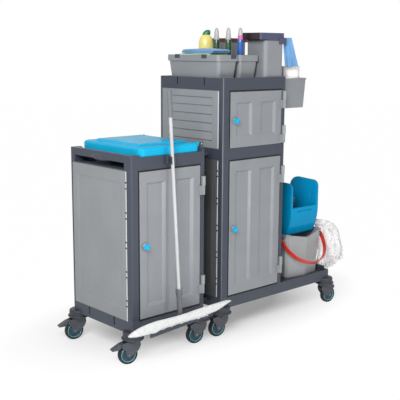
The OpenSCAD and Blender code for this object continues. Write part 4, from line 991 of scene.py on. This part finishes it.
class JANITOR_OT_studio(bpy.types.Operator):
    """Sets the pale floor, the soft lights and the camera"""

    bl_idname = "janitor.studio"
    bl_label = "Studio"

    # The floor glows by itself outside an oval about the cart: its stretch, shift and reach
    OVAL_STRETCH, OVAL_SHIFT = (0.48, 1.0, 1.0), (-0.02, -0.25, 0.0)
    OVAL_INNER, OVAL_OUTER, FAR_GLOW = 0.31, 0.70, 0.99
    FLOOR_SIZE = 20.0
    SENSOR = 36.0

    def lamp(self, name, power, size, place, aim):
        """Square light aimed at a point."""
        data = bpy.data.lights.new(name, "AREA")
        data.energy = power
        data.size = size
        obj = bpy.data.objects.new(name, data)
        obj.location = place
        obj.rotation_euler = (Vector(aim) - Vector(place)).to_track_quat("-Z", "Y").to_euler()
        bpy.context.scene.collection.objects.link(obj)

    def camera(self, stage):
        """Camera at the photograph's place."""
        eye, aim = at(-2519.4, -3286.9, 1660.6), at(770.5, 309.9, 761.3)
        data = bpy.data.cameras.new("photo_camera")
        data.lens = stage.lens
        data.sensor_width = self.SENSOR
        camera = bpy.data.objects.new("photo_camera", data)
        look = (aim - eye).to_track_quat("-Z", "Y").to_matrix().to_4x4()
        roll = Matrix.Rotation(stage.roll, 4, "Z")
        camera.matrix_world = Matrix.Translation(eye) @ look @ roll
        bpy.context.scene.collection.objects.link(camera)
        bpy.context.scene.camera = camera

    def sky(self, stage):
        """Even light, white where it is seen directly."""
        world = bpy.data.worlds.new("studio")
        bpy.context.scene.world = world
        world.use_nodes = True
        tree = world.node_tree
        ground = tree.nodes["Background"]
        level = ramp_range(tree, seen_directly(tree), 0.0, 1.0, stage.sky, 1.0)
        tree.links.new(level, ground.inputs["Strength"])
        ground.inputs["Color"].default_value = (1.0, 1.0, 1.0, 1.0)

    def floor_finish(self, stage):
        """Pale floor that takes the cart's shadow and fades into the white."""
        mat = bpy.data.materials.new("Pale floor")
        mat.use_nodes = True
        tree = mat.node_tree
        shader = tree.nodes["Principled BSDF"]
        shader.inputs["Base Color"].default_value = (0.95, 0.95, 0.95, 1)
        shader.inputs["Roughness"].default_value = 0.7
        place = add(tree, "ShaderNodeTexCoord").outputs["Object"]
        oval = add(tree, "ShaderNodeVectorMath", operation="MULTIPLY_ADD")
        for socket, value in zip(oval.inputs, (place, self.OVAL_STRETCH, self.OVAL_SHIFT)):
            feed(tree, socket, value)
        far = add(tree, "ShaderNodeVectorMath", operation="LENGTH")
        tree.links.new(oval.outputs["Vector"], far.inputs[0])
        share = ramp_range(tree, far.outputs["Value"], self.OVAL_INNER, self.OVAL_OUTER,
                           stage.floor_glow, self.FAR_GLOW)
        glow = add(tree, "ShaderNodeEmission")
        mix = add(tree, "ShaderNodeMixShader")
        mix_inputs = (product(tree, seen_directly(tree), share), shader.outputs[0],
                      glow.outputs[0])
        for socket, value in zip(mix.inputs, mix_inputs):
            tree.links.new(value, socket)
        tree.links.new(mix.outputs[0], tree.nodes["Material Output"].inputs["Surface"])
        return mat

    def execute(self, context):
        _, _, stage = cart()
        bpy.context.scene.view_settings.view_transform = "Standard"
        self.camera(stage)
        self.lamp("key", stage.key, 1.6, (-3.4, -2.4, 3.0), (-0.2, 0, 0.8))
        self.lamp("fill", stage.fill, 0.9, (-0.2, -3.4, 0.5), (-0.1, 0, 0.8))
        self.sky(stage)
        bm = bmesh.new()
        bmesh.ops.create_grid(bm, x_segments=2, y_segments=2, size=self.FLOOR_SIZE)
        mesh = bpy.data.meshes.new("floor")
        bm.to_mesh(mesh)
        bm.free()
        floor = bpy.data.objects.new("floor", mesh)
        bpy.context.scene.collection.objects.link(floor)
        mesh.materials.append(self.floor_finish(stage))
        return {"FINISHED"}


OPERATORS = (JANITOR_OT_studio, JANITOR_OT_finishes, JANITOR_OT_wheels, JANITOR_OT_flat_mop,
             JANITOR_OT_string_mop, JANITOR_OT_cloths, JANITOR_OT_bottles, JANITOR_OT_trim)


class JANITOR_PT_cart(bpy.types.Panel):
    """Lists the cart's pieces and their settings"""

    bl_idname = "JANITOR_PT_cart"
    bl_label = "Janitor cart"
    bl_space_type = "VIEW_3D"
    bl_region_type = "UI"
    bl_category = "Cart"

    def draw(self, context):
        for group in cart():
            box = self.layout.box()
            for key in group.bl_rna.properties.keys():
                if key not in {"rna_type", "name"}:
                    box.prop(group, key)
        for operator in OPERATORS:
            self.layout.operator(operator.bl_idname)


CLASSES = (CartColours, CartSizes, CartStage, *OPERATORS, JANITOR_PT_cart)


def register():
    for cls in CLASSES:
        bpy.utils.register_class(cls)
    bpy.types.Scene.janitor_colours = PointerProperty(type=CartColours)
    bpy.types.Scene.janitor_sizes = PointerProperty(type=CartSizes)
    bpy.types.Scene.janitor_stage = PointerProperty(type=CartStage)


def unregister():
    scene = bpy.types.Scene
    del scene.janitor_colours, scene.janitor_sizes, scene.janitor_stage
    for cls in reversed(CLASSES):
        bpy.utils.unregister_class(cls)


def main():
    register()
    for operator in OPERATORS:
        group, name = operator.bl_idname.split(".")
        getattr(getattr(bpy.ops, group), name)()


if __name__ == "__main__":
    main()
